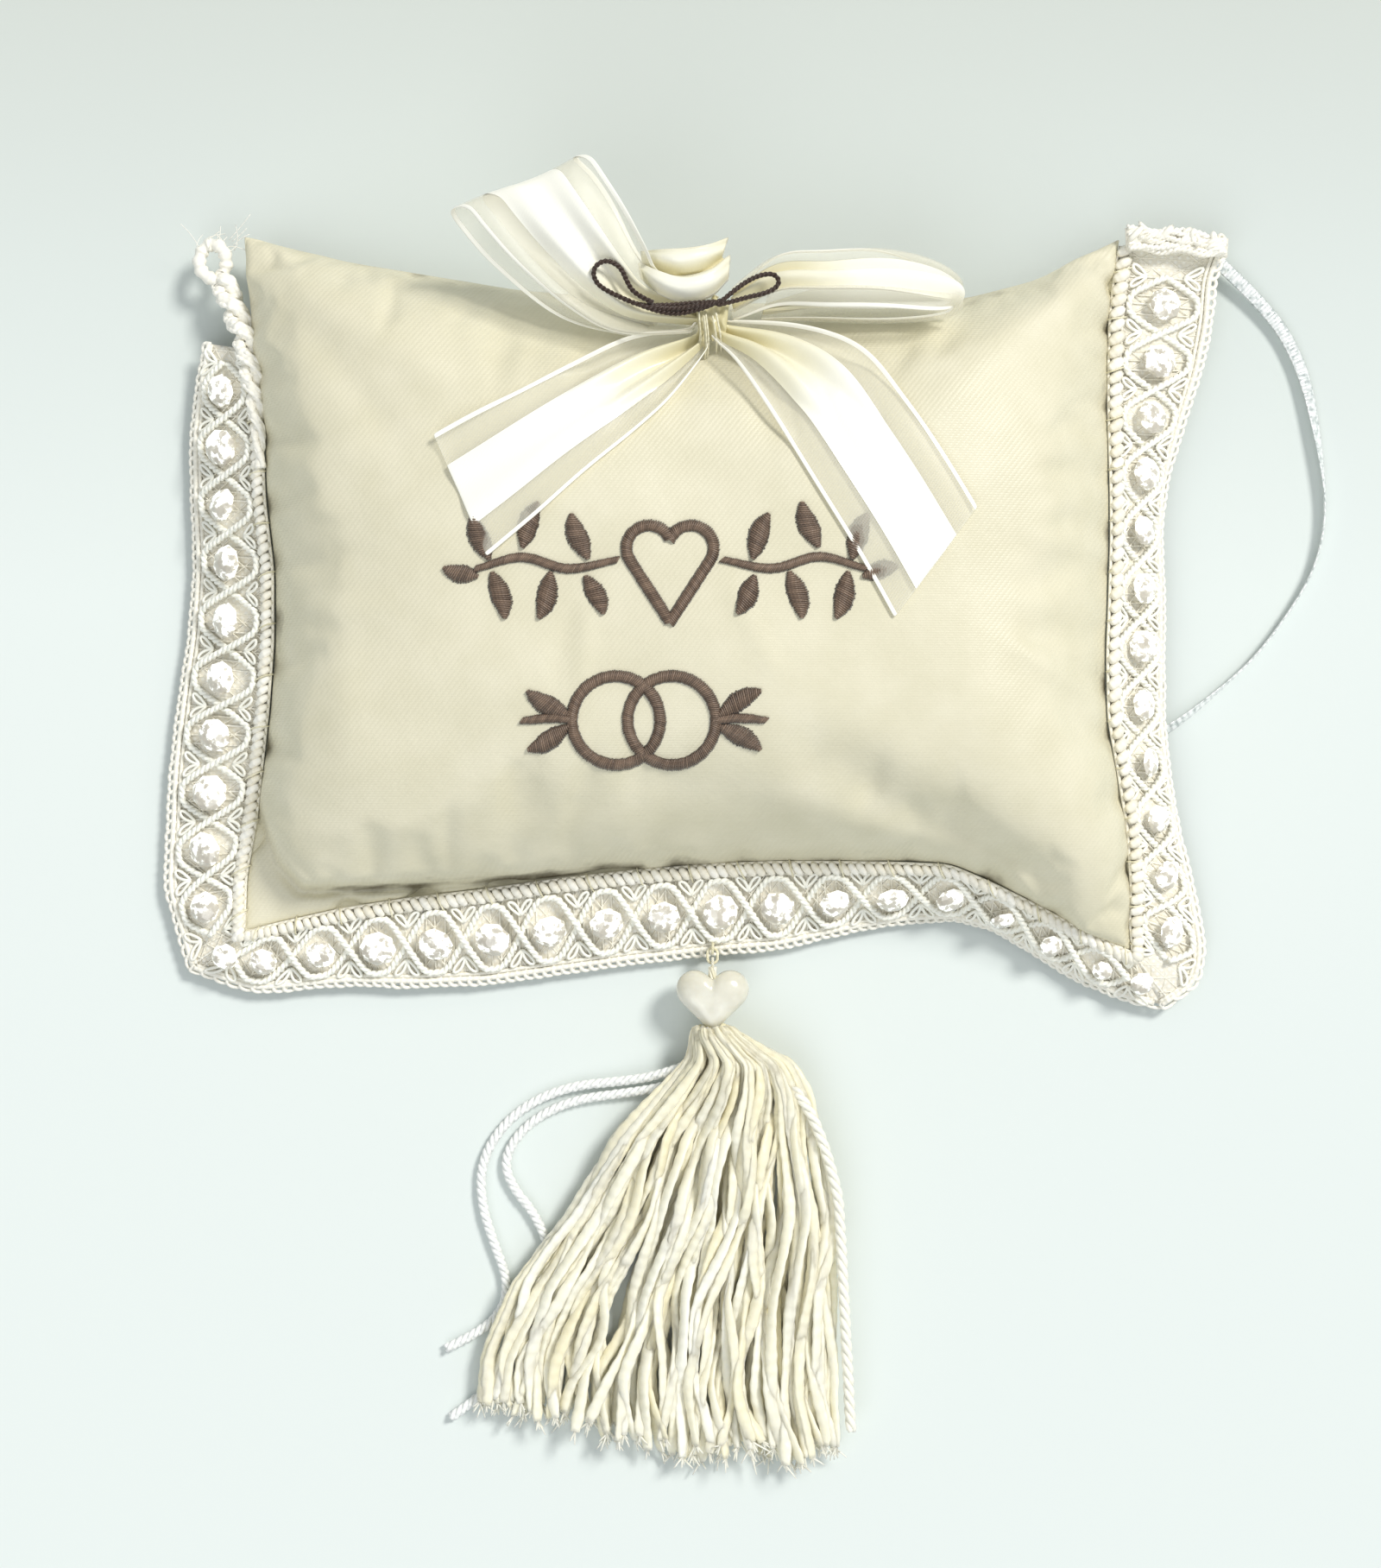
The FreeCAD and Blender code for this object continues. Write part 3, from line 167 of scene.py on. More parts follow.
# Sections of the tassel: y, middle x, half width, middle z, half height, and its turn in degrees.
SKIRT_SECTIONS = [
    (-80.5, 4.5, 3.5, 6.6, 3, 0), (-84, 8.5, 9.5, 6.2, 5, 0), (-90, 7.5, 14, 6, 5.3, 0),
    (-98, 4.5, 18.5, 5.8, 5.4, 0), (-112, 2, 24, 5.2, 4.9, 0), (-127, -3, 29, 4.6, 4.3, -4),
    (-142, -5.5, 32, 4, 3.7, -7), (-150, -5, 33.5, 3.6, 3.3, -8),
]
# Leaves of the embroidery: middle x and y, length, width, and direction in degrees.
UPPER_LEAVES = [
    (-36, 8.5, 8, 3.6, 110), (-33, -1.5, 8, 3.6, -75), (-27.5, 10.5, 8, 3.6, 70), (-25, -1.5, 8, 3.6, -105),
    (-19, 8.5, 8, 3.6, 110), (-16.5, -1.5, 7, 3.4, -65), (-39.5, 2.5, 6, 3.2, 165),
    (9.5, -1.5, 7, 3.4, -115), (12, 8.5, 8, 3.6, 70), (18, -1.5, 8, 3.6, -75), (20.5, 10.5, 8, 3.6, 110),
    (26, -1.5, 8, 3.6, -105), (29, 8.5, 8, 3.6, 70), (32.5, 2.5, 6, 3.2, 15),
]
LOWER_LEAVES = [
    (-24.5, -20, 8, 3.4, 150), (-24.5, -26, 8, 3.4, -150), (8.5, -20, 8, 3.4, 30), (8.5, -26, 8, 3.4, -30),
]
UPPER_STEMS = metres([
    [(-37, 3), (-29, 5), (-21, 3), (-12.5, 4.5)], [(5.5, 4.5), (14, 3), (22, 5), (30, 3)],
])
LOWER_STEMS = metres([
    [(-29, -23), (-24, -22.6), (-20, -23)], [(4, -23), (8, -22.6), (13, -23)],
])
# Rings: middle x and y, and radius. The heart: x, y of its lobes' middles, their radius, and y of its point.
LOWER_RINGS = metres([
    (-12.8, -23, 7.6), (-3.2, -23, 7.6),
])
UPPER_HEART = metres((-3.5, 6.5, 3.9, -6.2))

# ------------------------------------------------------------------ mesh helpers


def unit(vectors):
    """Vectors, one a row, at length 1."""
    vectors = np.asarray(vectors, float)
    return vectors / np.maximum(np.linalg.norm(vectors, axis=-1, keepdims=True), 1e-12)


def travelled(path):
    """Distance along a path at each of its points."""
    steps = np.linalg.norm(np.diff(path, axis=0), axis=1)
    return np.concatenate([[0.0], np.cumsum(steps)])


def at_distances(path, distances):
    along = travelled(path)
    return np.stack([np.interp(distances, along, path[:, k]) for k in range(path.shape[1])], axis=1)


def resampled(path, step):
    """The path again with points about step apart."""
    path = np.asarray(path, float)
    total = travelled(path)[-1]
    return at_distances(path, np.linspace(0, total, max(2, math.ceil(total / step) + 1)))


def curved(points, per_span=10):
    """A smooth line through every point."""
    p = np.asarray(points, float)
    p = np.concatenate([[2 * p[0] - p[1]], p, [2 * p[-1] - p[-2]]])
    t = np.linspace(0, 1, per_span, endpoint=False)[:, None]
    spans = []
    for a, b, c, d in zip(p, p[1:], p[2:], p[3:]):
        spans.append(0.5 * (2 * b + (c - a) * t + (2 * a - 5 * b + 4 * c - d) * t ** 2
                            + (3 * b - a - 3 * c + d) * t ** 3))
    return np.concatenate(spans + [p[-2:-1]])


def averaged(path, reach):
    """Each point drawn towards its neighbours within the reach. The line loses its reach at both ends."""
    kernel = np.hanning(2 * reach + 3)[1:-1]
    kernel /= kernel.sum()
    return np.stack([np.convolve(path[:, k], kernel, "valid") for k in range(path.shape[1])], axis=1)


def softened(path, reach):
    """A line with its corners eased over the reach, in points each side. Its ends stay."""
    before = 2 * path[0] - path[reach:0:-1]
    after = 2 * path[-1] - path[-2:-reach - 2:-1]
    return averaged(np.concatenate([before, path, after]), reach)


def path_frames(path, level=False):
    """Directions aside and above along a path; level keeps the aside direction level."""
    ahead = unit(np.gradient(path, axis=0))
    aside = np.cross(ahead, UP)
    if not level:
        current = aside[0] if np.linalg.norm(aside[0]) >= 0.1 else np.array([1.0, 0.0, 0.0])
        for index, direction in enumerate(ahead):
            current = current - direction * (current @ direction)
            current = current / np.linalg.norm(current)
            aside[index] = current
    aside = unit(aside)
    return aside, unit(np.cross(aside, ahead))


def closed_frames(path):
    """Directions outward and above along a path that closes on itself."""
    ahead = unit(np.roll(path, -1, axis=0) - np.roll(path, 1, axis=0))
    outward = path - path.mean(axis=0)
    outward = unit(outward - ahead * (outward * ahead).sum(axis=1, keepdims=True))
    return outward, np.cross(outward, ahead)


def swung(angle, first, second):
    """For each angle, the direction that far round from the first towards the second."""
    return np.cos(angle)[:, None] * first + np.sin(angle)[:, None] * second


def full_turn(count):
    """Angles evenly spread over one turn."""
    return np.arange(count) * 2 * math.pi / count


def tube_faces(count, sides):
    """Faces that join rings of points into a tube and close its two ends."""
    faces = []
    for ring in range(count - 1):
        for k in range(sides):
            a, b = ring * sides + k, ring * sides + (k + 1) % sides
            faces.append((a, a + sides, b + sides, b))
    faces.append(tuple(range(sides)))
    faces.append(tuple(range(count * sides - 1, (count - 1) * sides - 1, -1)))
    return faces


class Soup:
    """Points and faces gathered from many small parts, made into one piece at the end."""

    def __init__(self):
        self.points, self.tones, self.along = [], [], []
        self.faces, self.slots = [], []
        self.count = 0

    def add(self, points, faces, slot=0, tone=0.5, along=0.0):
        points = np.asarray(points, float).reshape(-1, 3)
        self.points.append(points)
        self.tones.append(np.broadcast_to(np.asarray(tone, float), len(points)))
        self.along.append(np.broadcast_to(np.asarray(along, float), len(points)))
        self.faces += [tuple(int(i) + self.count for i in face) for face in faces]
        self.slots += [slot] * len(faces)
        self.count += len(points)

    def tube(self, path, half_width, half_depth=None, roll=0.0, sides=6, level=False, slot=0, tone=0.5):
        """A closed tube of oval section along a path."""
        path = np.asarray(path, float)
        count = len(path)
        half_depth = half_width if half_depth is None else half_depth
        wide = np.broadcast_to(half_width, count)[:, None, None]
        deep = np.broadcast_to(half_depth, count)[:, None, None]
        turn = np.broadcast_to(roll, count)[:, None]
        aside, above = path_frames(path, level)
        across = aside * np.cos(turn) + above * np.sin(turn)
        upright = above * np.cos(turn) - aside * np.sin(turn)
        angles = full_turn(sides)
        rings = (path[:, None, :] + wide * np.cos(angles)[None, :, None] * across[:, None, :]
                 + deep * np.sin(angles)[None, :, None] * upright[:, None, :])
        tones = np.repeat(np.broadcast_to(tone, count), sides)
        self.add(rings, tube_faces(count, sides), slot, tones, np.repeat(travelled(path), sides))

    def ring(self, path, radius, sides=5, tone=0.5):
        """A tube whose path closes on itself."""
        path = np.asarray(path, float)
        count = len(path)
        outward, above = closed_frames(path)
        angles = full_turn(sides)
        rings = path[:, None, :] + radius * (np.cos(angles)[None, :, None] * outward[:, None, :]
                                             + np.sin(angles)[None, :, None] * above[:, None, :])
        faces = []
        for ring in range(count):
            here, following = ring * sides, (ring + 1) % count * sides
            for k in range(sides):
                b = (k + 1) % sides
                faces.append((here + k, following + k, following + b, here + b))
        self.add(rings, faces, tone=tone)

    def slab(self, grid, thickness, slots=None, tone=0.5):
        """A thin closed sheet: the grid is its upper face, points by rows and columns."""
        rows, columns = grid.shape[:2]
        normal = unit(np.cross(np.gradient(grid, axis=1), np.gradient(grid, axis=0)))
        points = np.concatenate([grid.reshape(-1, 3), (grid - normal * thickness).reshape(-1, 3)])
        upper = self.count + np.arange(rows * columns).reshape(rows, columns)
        lower = upper + rows * columns
        slots = [0] * (columns - 1) if slots is None else slots
        for column in range(columns - 1):
            faces = []
            for row in range(rows - 1):
                corners = [(row, column), (row, column + 1), (row + 1, column + 1), (row + 1, column)]
                faces.append([upper[corner] for corner in corners])
                faces.append([lower[corner] for corner in reversed(corners)])
            for row, order in ((0, -1), (rows - 1, 1)):
                faces.append([upper[row, column], upper[row, column + 1],
                              lower[row, column + 1], lower[row, column]][::order])
            if column in (0, columns - 2):
                edge, order = (0, 1) if column == 0 else (columns - 1, -1)
                for row in range(rows - 1):
                    faces.append([upper[row, edge], upper[row + 1, edge],
                                  lower[row + 1, edge], lower[row, edge]][::order])
            self.faces += [tuple(map(int, face)) for face in faces]
            self.slots += [slots[column]] * len(faces)
        self.add(points, [], tone=tone)

    def piece(self, name, materials, body, node_names, slot, smooth=True):
        """One object of the gathered parts, riding on a body and standing for the named nodes."""
        mesh = bpy.data.meshes.new(name)
        mesh.from_pydata(np.concatenate(self.points).tolist(), [], self.faces)
        for material in materials:
            mesh.materials.append(material)
        mesh.polygons.foreach_set("material_index", self.slots)
        mesh.polygons.foreach_set("use_smooth", [smooth] * len(self.faces))
        for title, values in (("tone", self.tones), ("along", self.along)):
            attribute = mesh.attributes.new(title, "FLOAT", "POINT")
            attribute.data.foreach_set("value", np.concatenate(values).astype(np.float32))
        mesh.update()
        obj = bpy.data.objects.new(name, mesh)
        scene.collection.objects.link(obj)
        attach(obj, body)
        if node_names:
            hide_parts(*node_names)
        return obj


def smooth_out(obj):
    """One step of smoothing, in view and in the render."""
    subdivision = obj.modifiers.new("smooth", "SUBSURF")
    subdivision.levels = subdivision.render_levels = 1


def route_line(points):
    """The smooth line of a route, read from its NURBS spline."""
    curve = bpy.data.curves.new("route", "CURVE")
    curve.dimensions = "3D"
    spline = curve.splines.new("NURBS")
    spline.points.add(len(points) - 1)
    for control, place in zip(spline.points, points):
        control.co = (*place, 1.0)
    spline.order_u = 3
    spline.use_endpoint_u = True
    spline.resolution_u = 12
    holder = bpy.data.objects.new("route", curve)
    mesh = bpy.data.meshes.new_from_object(holder)
    line = np.array([v.co for v in mesh.vertices], float)
    bpy.data.meshes.remove(mesh)
    bpy.data.objects.remove(holder)
    bpy.data.curves.remove(curve)
    return line


def strands(soup, line, count, strand_radius, orbit, lay_length, sides=6, tone=0.5, step=0.5 * MM):
    """A rope: strands wound round a line, one turn in each lay length."""
    line = resampled(line, step)
    turn = 2 * math.pi * travelled(line) / lay_length
    for strand in range(count):
        phase = turn + 2 * math.pi * strand / count
        soup.tube(line + orbit * swung(phase, *path_frames(line)), strand_radius, sides=sides, tone=tone)


# ------------------------------------------------------------------ materials


def colour(red, green, blue):
    """A colour given as a screen shows it, 0 to 255, in linear light."""
    parts = []
    for value in (red, green, blue):
        share = value / 255
        parts.append(share / 12.92 if share <= 0.04045 else ((share + 0.055) / 1.055) ** 2.4)
    return (*parts, 1.0)


WAVE_PITCH = 0.314      # stripes of a wave texture at scale 1, in metres


class Material:
    """A Principled material with its nodes at hand."""

    def __init__(self, name, **sockets):
        self.data = bpy.data.materials.new(name)
        self.data.use_nodes = True
        self.nodes = self.data.node_tree.nodes
        self.links = self.data.node_tree.links
        self.shader = self.nodes["Principled BSDF"]
        for title, value in sockets.items():
            self.shader.inputs[title.replace("_", " ")].default_value = value

    def node(self, kind, **inputs):
        made = self.nodes.new(kind)
        for title, value in inputs.items():
            made.inputs[title.replace("_", " ")].default_value = value
        return made

    def join(self, source, target):
        self.links.new(source, target)

    def place(self, turn=0.0, stretch=(1.0, 1.0, 1.0)):
        """Object coordinates, turned about Z and stretched."""
        coordinates = self.node("ShaderNodeTexCoord")
        mapping = self.node("ShaderNodeMapping")
        mapping.inputs["Rotation"].default_value = (0, 0, turn)
        mapping.inputs["Scale"].default_value = stretch
        self.join(coordinates.outputs["Object"], mapping.inputs["Vector"])
        return mapping.outputs["Vector"]

    def noise(self, size, detail=3.0, stretch=(1.0, 1.0, 1.0)):
        """Noise whose blotches are about the size across, in metres."""
        noise = self.node("ShaderNodeTexNoise", Scale=1.0 / size, Detail=detail)
        self.join(self.place(stretch=stretch), noise.inputs["Vector"])
        return noise.outputs["Fac"]

    def bands(self, pitch, turn, waver=0.0):
        """Stripes a pitch apart."""
        wave = self.node("ShaderNodeTexWave", Scale=WAVE_PITCH / pitch, Distortion=waver)
        self.join(self.place(turn=turn), wave.inputs["Vector"])
        return wave.outputs["Fac"]

    def attribute(self, title):
        """The tone of each part of a piece, or the distance along each strand."""
        found = self.node("ShaderNodeAttribute")
        found.attribute_name = title
        return found.outputs["Fac"]

    def maths(self, operation, first, second):
        made = self.nodes.new("ShaderNodeMath")
        made.operation = operation
        for socket, value in zip(made.inputs, (first, second)):
            if isinstance(value, (int, float)):
                socket.default_value = value
            else:
                self.join(value, socket)
        return made.outputs["Value"]

    def ribs(self, pitch):
        """Waves across a strand, a pitch apart along it."""
        return self.maths("SINE", self.maths("MULTIPLY", self.attribute("along"), 2 * math.pi / pitch), 0.0)

    def ramp(self, factor, stops):
        """Colours at places along a factor."""
        ramp = self.nodes.new("ShaderNodeValToRGB")
        elements = ramp.color_ramp.elements
        elements[0].position, elements[1].position = stops[0][0], stops[-1][0]
        elements[0].color, elements[1].color = stops[0][1], stops[-1][1]
        for position, tint in stops[1:-1]:
            elements.new(position).color = tint
        self.join(factor, ramp.inputs["Fac"])
        return ramp.outputs["Color"]

    def paint(self, output):
        self.join(output, self.shader.inputs["Base Color"])

    def roughen(self, factor, low, high):
        spread = self.node("ShaderNodeMapRange", To_Min=low, To_Max=high)
        self.join(factor, spread.inputs["Value"])
        self.join(spread.outputs["Result"], self.shader.inputs["Roughness"])

    def emboss(self, heights):
        """Bumps laid one on another: each is (height, depth in metres, strength)."""
        previous = None
        for height, depth, strength in heights:
            bump = self.node("ShaderNodeBump", Strength=strength, Distance=depth)
            self.join(height, bump.inputs["Height"])
            if previous is not None:
                self.join(previous, bump.inputs["Normal"])
            previous = bump.outputs["Normal"]
        self.join(previous, self.shader.inputs["Normal"])


def ivory_satin():
    cloth = Material("ivory_satin", Roughness=0.46, Sheen_Weight=0.25, Sheen_Roughness=0.4)
    cloth.shader.inputs["Sheen Tint"].default_value = colour(255, 250, 225)
    mottle = cloth.maths("MAXIMUM", cloth.noise(9 * MM, 5), 0.3)
    # Painted shade: the cover's tone pulls the colour down the ramp to its dark stop in sharp creases, beside
    # the stitch pulls and along the seam.
    folded = cloth.maths("SUBTRACT", mottle, cloth.attribute("tone"))
    cloth.paint(cloth.ramp(folded, [(0.0, colour(112, 104, 82)), (0.3, colour(217, 211, 184)),
                                    (0.7, colour(225, 219, 194))]))
    twill = cloth.bands(0.75 * MM, math.radians(38), 0.4)
    weft = cloth.bands(0.42 * MM, math.radians(90), 0.3)
    cloth.roughen(twill, 0.40, 0.56)
    slubs = cloth.noise(0.9 * MM, 4)
    cloth.emboss([(cloth.noise(5 * MM, 3), 0.25 * MM, 0.35), (slubs, 0.09 * MM, 0.6), (weft, 0.03 * MM, 0.5),
                  (twill, 0.05 * MM, 0.6)])
    return cloth.data


def thread_material(name, dark, light, roughness=0.5, sheen=0.3, twist=1.1 * MM, twist_depth=0.08 * MM,
                    glow=0.0):
    """Spun thread: each strand its own tone, with the lines of its twist."""
    yarn = Material(name, Roughness=roughness, Sheen_Weight=sheen, Sheen_Roughness=0.35,
                    Subsurface_Weight=glow, Subsurface_Scale=0.0012)
    yarn.shader.inputs["Subsurface Radius"].default_value = (1.0, 1.0, 1.0)
    blotch = yarn.noise(1.5 * MM, 3)
    tone = yarn.maths("ADD", yarn.maths("MULTIPLY", yarn.attribute("tone"), 0.7),
                      yarn.maths("MULTIPLY", blotch, 0.3))
    yarn.paint(yarn.ramp(tone, [(0.15, dark), (0.85, light)]))
    yarn.emboss([(yarn.ribs(twist), twist_depth, 0.6), (yarn.noise(0.35 * MM, 2), 0.06 * MM, 0.5)])
    return yarn.data


def braid_mesh():
    net = Material("braid_mesh", Roughness=0.6, Sheen_Weight=0.2, Alpha=0.9)
    strands_one = net.bands(1.1 * MM, math.radians(45), 0.5)
    strands_two = net.bands(1.1 * MM, math.radians(-45), 0.5)
    knots = net.maths("MULTIPLY", strands_one, strands_two)
    net.paint(net.ramp(knots, [(0.05, colour(244, 238, 222)), (0.8, colour(254, 251, 241))]))
    net.emboss([(knots, 0.12 * MM, 0.8)])
    return net.data


def crystal_clear():
    """Cut glass on pale braid: painted grey-beige for the ground seen through it, with painted white glints
    that glow by emission.
    """
    glass = Material("crystal", Roughness=0.06, IOR=1.8, Transmission_Weight=0.15, Coat_Weight=1.0,
                     Coat_Roughness=0.02, Emission_Strength=0.45)
    painted_glints = glass.maths("ADD", glass.noise(1.5 * MM, 3),
                         glass.maths("MULTIPLY", glass.attribute("tone"), 0.2))
    glass.paint(glass.ramp(painted_glints, [(0.5, colour(205, 198, 184)), (0.57, colour(228, 223, 210)),
                                    (0.60, colour(255, 255, 250)), (1.0, colour(255, 255, 252))]))
    painted_glow = glass.ramp(painted_glints, [(0.57, colour(0, 0, 0)), (0.62, colour(255, 255, 250))])
    glass.join(painted_glow, glass.shader.inputs["Emission Color"])
    return glass.data


def ribbon_satin():
    satin = Material("ribbon_satin", Roughness=0.3, Sheen_Weight=0.5, Sheen_Roughness=0.3,
                     Specular_IOR_Level=0.6)
    mottle = satin.maths("MULTIPLY", satin.noise(7 * MM, 4), 0.25)
    # The tone paints light and shade: a painted highlight that grows away from the knot, painted shade at the
    # knot and in the scoop's valley.
    satin.paint(satin.ramp(satin.maths("ADD", satin.attribute("tone"), mottle),
                           [(0.12, colour(212, 202, 156)), (0.4, colour(226, 219, 184)),
                            (0.75, colour(240, 236, 214)), (1.0, colour(252, 250, 238))]))
    rib = satin.bands(0.5 * MM, math.radians(30), 0.3)
    satin.emboss([(satin.noise(6 * MM, 2), 0.15 * MM, 0.25), (rib, 0.02 * MM, 0.4)])
    return satin.data


def ribbon_sheer():
    organza = Material("ribbon_sheer", Roughness=0.42, Sheen_Weight=0.3, Alpha=0.26)
    warp = organza.bands(0.45 * MM, math.radians(35), 0.2)
    organza.paint(organza.ramp(warp, [(0.2, colour(243, 239, 218)), (0.8, colour(252, 249, 234))]))
    organza.emboss([(warp, 0.02 * MM, 0.3)])
    return organza.data


def white_tape():
    tape = Material("white_tape", Roughness=0.3, Metallic=0.25, Sheen_Weight=0.3, Coat_Weight=0.3)
    flecks = tape.noise(0.9 * MM, 2)
    tape.paint(tape.ramp(flecks, [(0.35, colour(196, 204, 202)), (0.5, colour(238, 242, 240)),
                                  (0.68, colour(255, 255, 255))]))
    tape.emboss([(tape.ribs(1.3 * MM), 0.12 * MM, 0.8), (flecks, 0.1 * MM, 0.5)])
    return tape.data


def pearl():
    bead = Material("pearl", Roughness=0.22, Subsurface_Weight=0.35, Subsurface_Scale=0.004, Coat_Weight=0.5,
                    Coat_Roughness=0.12, IOR=1.5)
    bead.shader.inputs["Subsurface Radius"].default_value = (1.0, 0.9, 0.7)
    bead.paint(bead.ramp(bead.noise(4 * MM, 3), [(0.3, colour(214, 211, 196)), (0.7, colour(232, 230, 218))]))
    bead.emboss([(bead.noise(2.2 * MM, 2), 0.05 * MM, 0.3)])
    return bead.data


def fibre_fill():
    wool = Material("fibre_fill", Roughness=0.9, Sheen_Weight=0.4)
    wool.paint(wool.ramp(wool.noise(6 * MM, 6), [(0.3, colour(225, 224, 218)), (0.7, colour(246, 246, 242))]))
    wool.emboss([(wool.noise(1.5 * MM, 6), 0.6 * MM, 0.8)])
    return wool.data


SATIN = ivory_satin()
MESH_GROUND = braid_mesh()
GIMP = thread_material("braid_gimp", colour(238, 231, 210), colour(253, 250, 240))
BRAID_CORD = thread_material("braid_cord", colour(250, 246, 230), colour(255, 254, 244), roughness=0.38)
CRYSTAL = crystal_clear()
SEWING = thread_material("sewing_thread", colour(206, 198, 160), colour(240, 234, 206))
BROWN_THREAD = thread_material("brown_thread", colour(46, 33, 26), colour(140, 117, 98), roughness=0.42,
                               sheen=0.35, twist=0.6 * MM, twist_depth=0.03 * MM)
RIBBON_SATIN = ribbon_satin()
RIBBON_SHEER = ribbon_sheer()
RIBBON_EDGE = thread_material("ribbon_edge", colour(246, 242, 226), colour(255, 253, 242), roughness=0.35)
BROWN_CORD = thread_material("brown_cord", colour(34, 22, 18), colour(74, 54, 42), roughness=0.5)
TAPE = white_tape()
PEARL = pearl()
YARN = thread_material("tassel_yarn", colour(231, 221, 182), colour(252, 249, 232), roughness=0.42, sheen=0.5,
                       twist=2.2 * MM, glow=0.4)
WHITE_CORD = thread_material("white_cord", colour(230, 232, 228), colour(253, 254, 252), roughness=0.45)
FIBRE = fibre_fill()

# ------------------------------------------------------------------ hanger and the tassel's cords

TAPE_WIDTH, TAPE_THICK = 2.5 * MM, 0.48 * MM
# How far the tape has turned on edge, in degrees, at distances along it in millimetres.
TAPE_TURN_AT = [0, 25, 50, 85, 110, 135, 175, 215, 260, 300, 336]
TAPE_TURN_TO = [0, 15, 80, 85, 40, 10, 20, -15, 12, 25, 5]

tape_line = resampled(softened(resampled(route_line(HANGER), 0.7 * MM), 3), 0.6 * MM)
tape_turn = np.radians(np.interp(travelled(tape_line) / MM, TAPE_TURN_AT, TAPE_TURN_TO))
tape = Soup()
tape.tube(tape_line, TAPE_WIDTH / 2, TAPE_THICK / 2, roll=tape_turn, sides=10, level=True)
hanger = tape.piece("hanger_tape", [TAPE], "pillow", ["hanger_ribbon"], "white_tape")

for cord_name, route, cord_length in (("tassel_outer_chainette", OUTER_CORD, 0.0845),
                                      ("tassel_inner_chainette", INNER_CORD, 0.0952)):
    line = route_line(route)
    rope = Soup()
    strands(rope, line, 3, 0.46 * MM, 0.5 * MM, 4.2 * MM, tone=0.6)
    chainette = rope.piece(cord_name, [WHITE_CORD], "tassel", [cord_name.replace("chainette", "cord")],
                           "white_cord")

RING_CORD_LAY = 1.6 * MM
LEFT_TUCK = metres([(-9.7, 50.2, 37.7), (-6.5, 48.8, 37.6)])
RIGHT_TUCK = metres([(7.2, 49.2, 35.8), (4.5, 48.5, 36.6)])
ring_line = np.concatenate([route_line(RING_CORD_LEFT + LEFT_TUCK)[::-1], route_line(RING_CORD_WRAP)[1:],
                            route_line(RING_CORD_RIGHT + RIGHT_TUCK)[1:]])
ring_cord = Soup()
strands(ring_cord, ring_line, 2, 0.27 * MM, 0.22 * MM, RING_CORD_LAY, step=0.25 * MM)
ring_tie = ring_cord.piece("ring_cord", [BROWN_CORD], "pillow",
                           ["ring_cord_left_loop", "ring_cord_wrap", "ring_cord_right_loop"], "brown_cord")

# Turns of the cord over its own middle: how far each bows out in y and z, in millimetres, and how much
# shorter it is than the middle.
windings = Soup()
wrap_line = route_line(RING_CORD_WRAP)
for shift_y, shift_z, shorter in ((0.75, 0.15, 0.10), (-0.7, 0.2, 0.05), (0.05, 0.75, 0.16)):
    line = at_distances(wrap_line, np.linspace(shorter, 1 - shorter * 0.7, 24) * travelled(wrap_line)[-1])
    bow_out = np.sin(np.linspace(0, math.pi, 24))[:, None]
    line = line + bow_out * MM * np.array([0, shift_y, shift_z])
    strands(windings, line, 2, 0.3 * MM, 0.24 * MM, RING_CORD_LAY, step=0.25 * MM)
windings.piece("ring_cord_windings", [BROWN_CORD], "pillow", [], "brown_cord")

# ------------------------------------------------------------------ strips of braid


class Strip:
    """A run of braid between its two edges. s runs along it in metres, t across it from 0 to 1."""

    STEP = 0.5 * MM

    def __init__(self, stations, ease=6):
        inner = np.array([pair[0] for pair in stations], float)
        outer = np.array([pair[1] for pair in stations], float)
        along = travelled((inner + outer) / 2)
        self.length = along[-1]
        self.s = np.linspace(0, self.length, int(self.length / self.STEP) + 1)
        self.inner, self.outer = (
            softened(np.stack([np.interp(self.s, along, edge[:, k]) for k in range(3)], 1), ease)
            for edge in (inner, outer))
        across = unit(self.outer - self.inner)
        self.normal = unit(UP - across * (across @ UP)[:, None])
        self.width = np.linalg.norm(self.outer - self.inner, axis=1)

    def look(self, values, s):
        """Values kept along the strip, read at distances s."""
        return np.stack([np.interp(s, self.s, values[:, k]) for k in range(values.shape[1])], axis=-1)

    def wide(self, s):
        """The width of the strip at distances s."""
        return np.interp(s, self.s, self.width)

    def at(self, s, t, lift=0.0):
        """Points at distances s, shares t and lifts, given as numbers or arrays of one shape."""
        s, t, lift = np.broadcast_arrays(np.asarray(s, float), np.asarray(t, float), np.asarray(lift, float))
        inner, outer, normal = self.look(self.inner, s), self.look(self.outer, s), self.look(self.normal, s)
        return inner + (outer - inner) * t[..., None] + normal * lift[..., None]


LOZENGE = 10.4 * MM         # from one crossing of the lattice to the next
GROUND_THICK = 0.3 * MM
CORD_RADIUS = 0.5 * MM      # of the lattice
BAR_PITCH = 1.7 * MM        # from one gimp bar or picot to the next
NET_PITCH, NET_REACH = 3.4 * MM, 12 * MM    # of the slanting threads in the ground
STITCH_PITCH = 9 * MM       # of the thread that sews the braid on


def lozenge_wave(turns):
    """The side-to-side swing of a lattice cord: straight slants with short flat tops."""
    part = turns % 1.0
    ramp = np.minimum(part, 1 - part) / 0.34
    height = np.minimum(ramp, 1.0)
    height = height * (1.12 - 0.12 * height)
    return height * np.where(np.floor(turns) % 2 < 0.5, 1.0, -1.0)


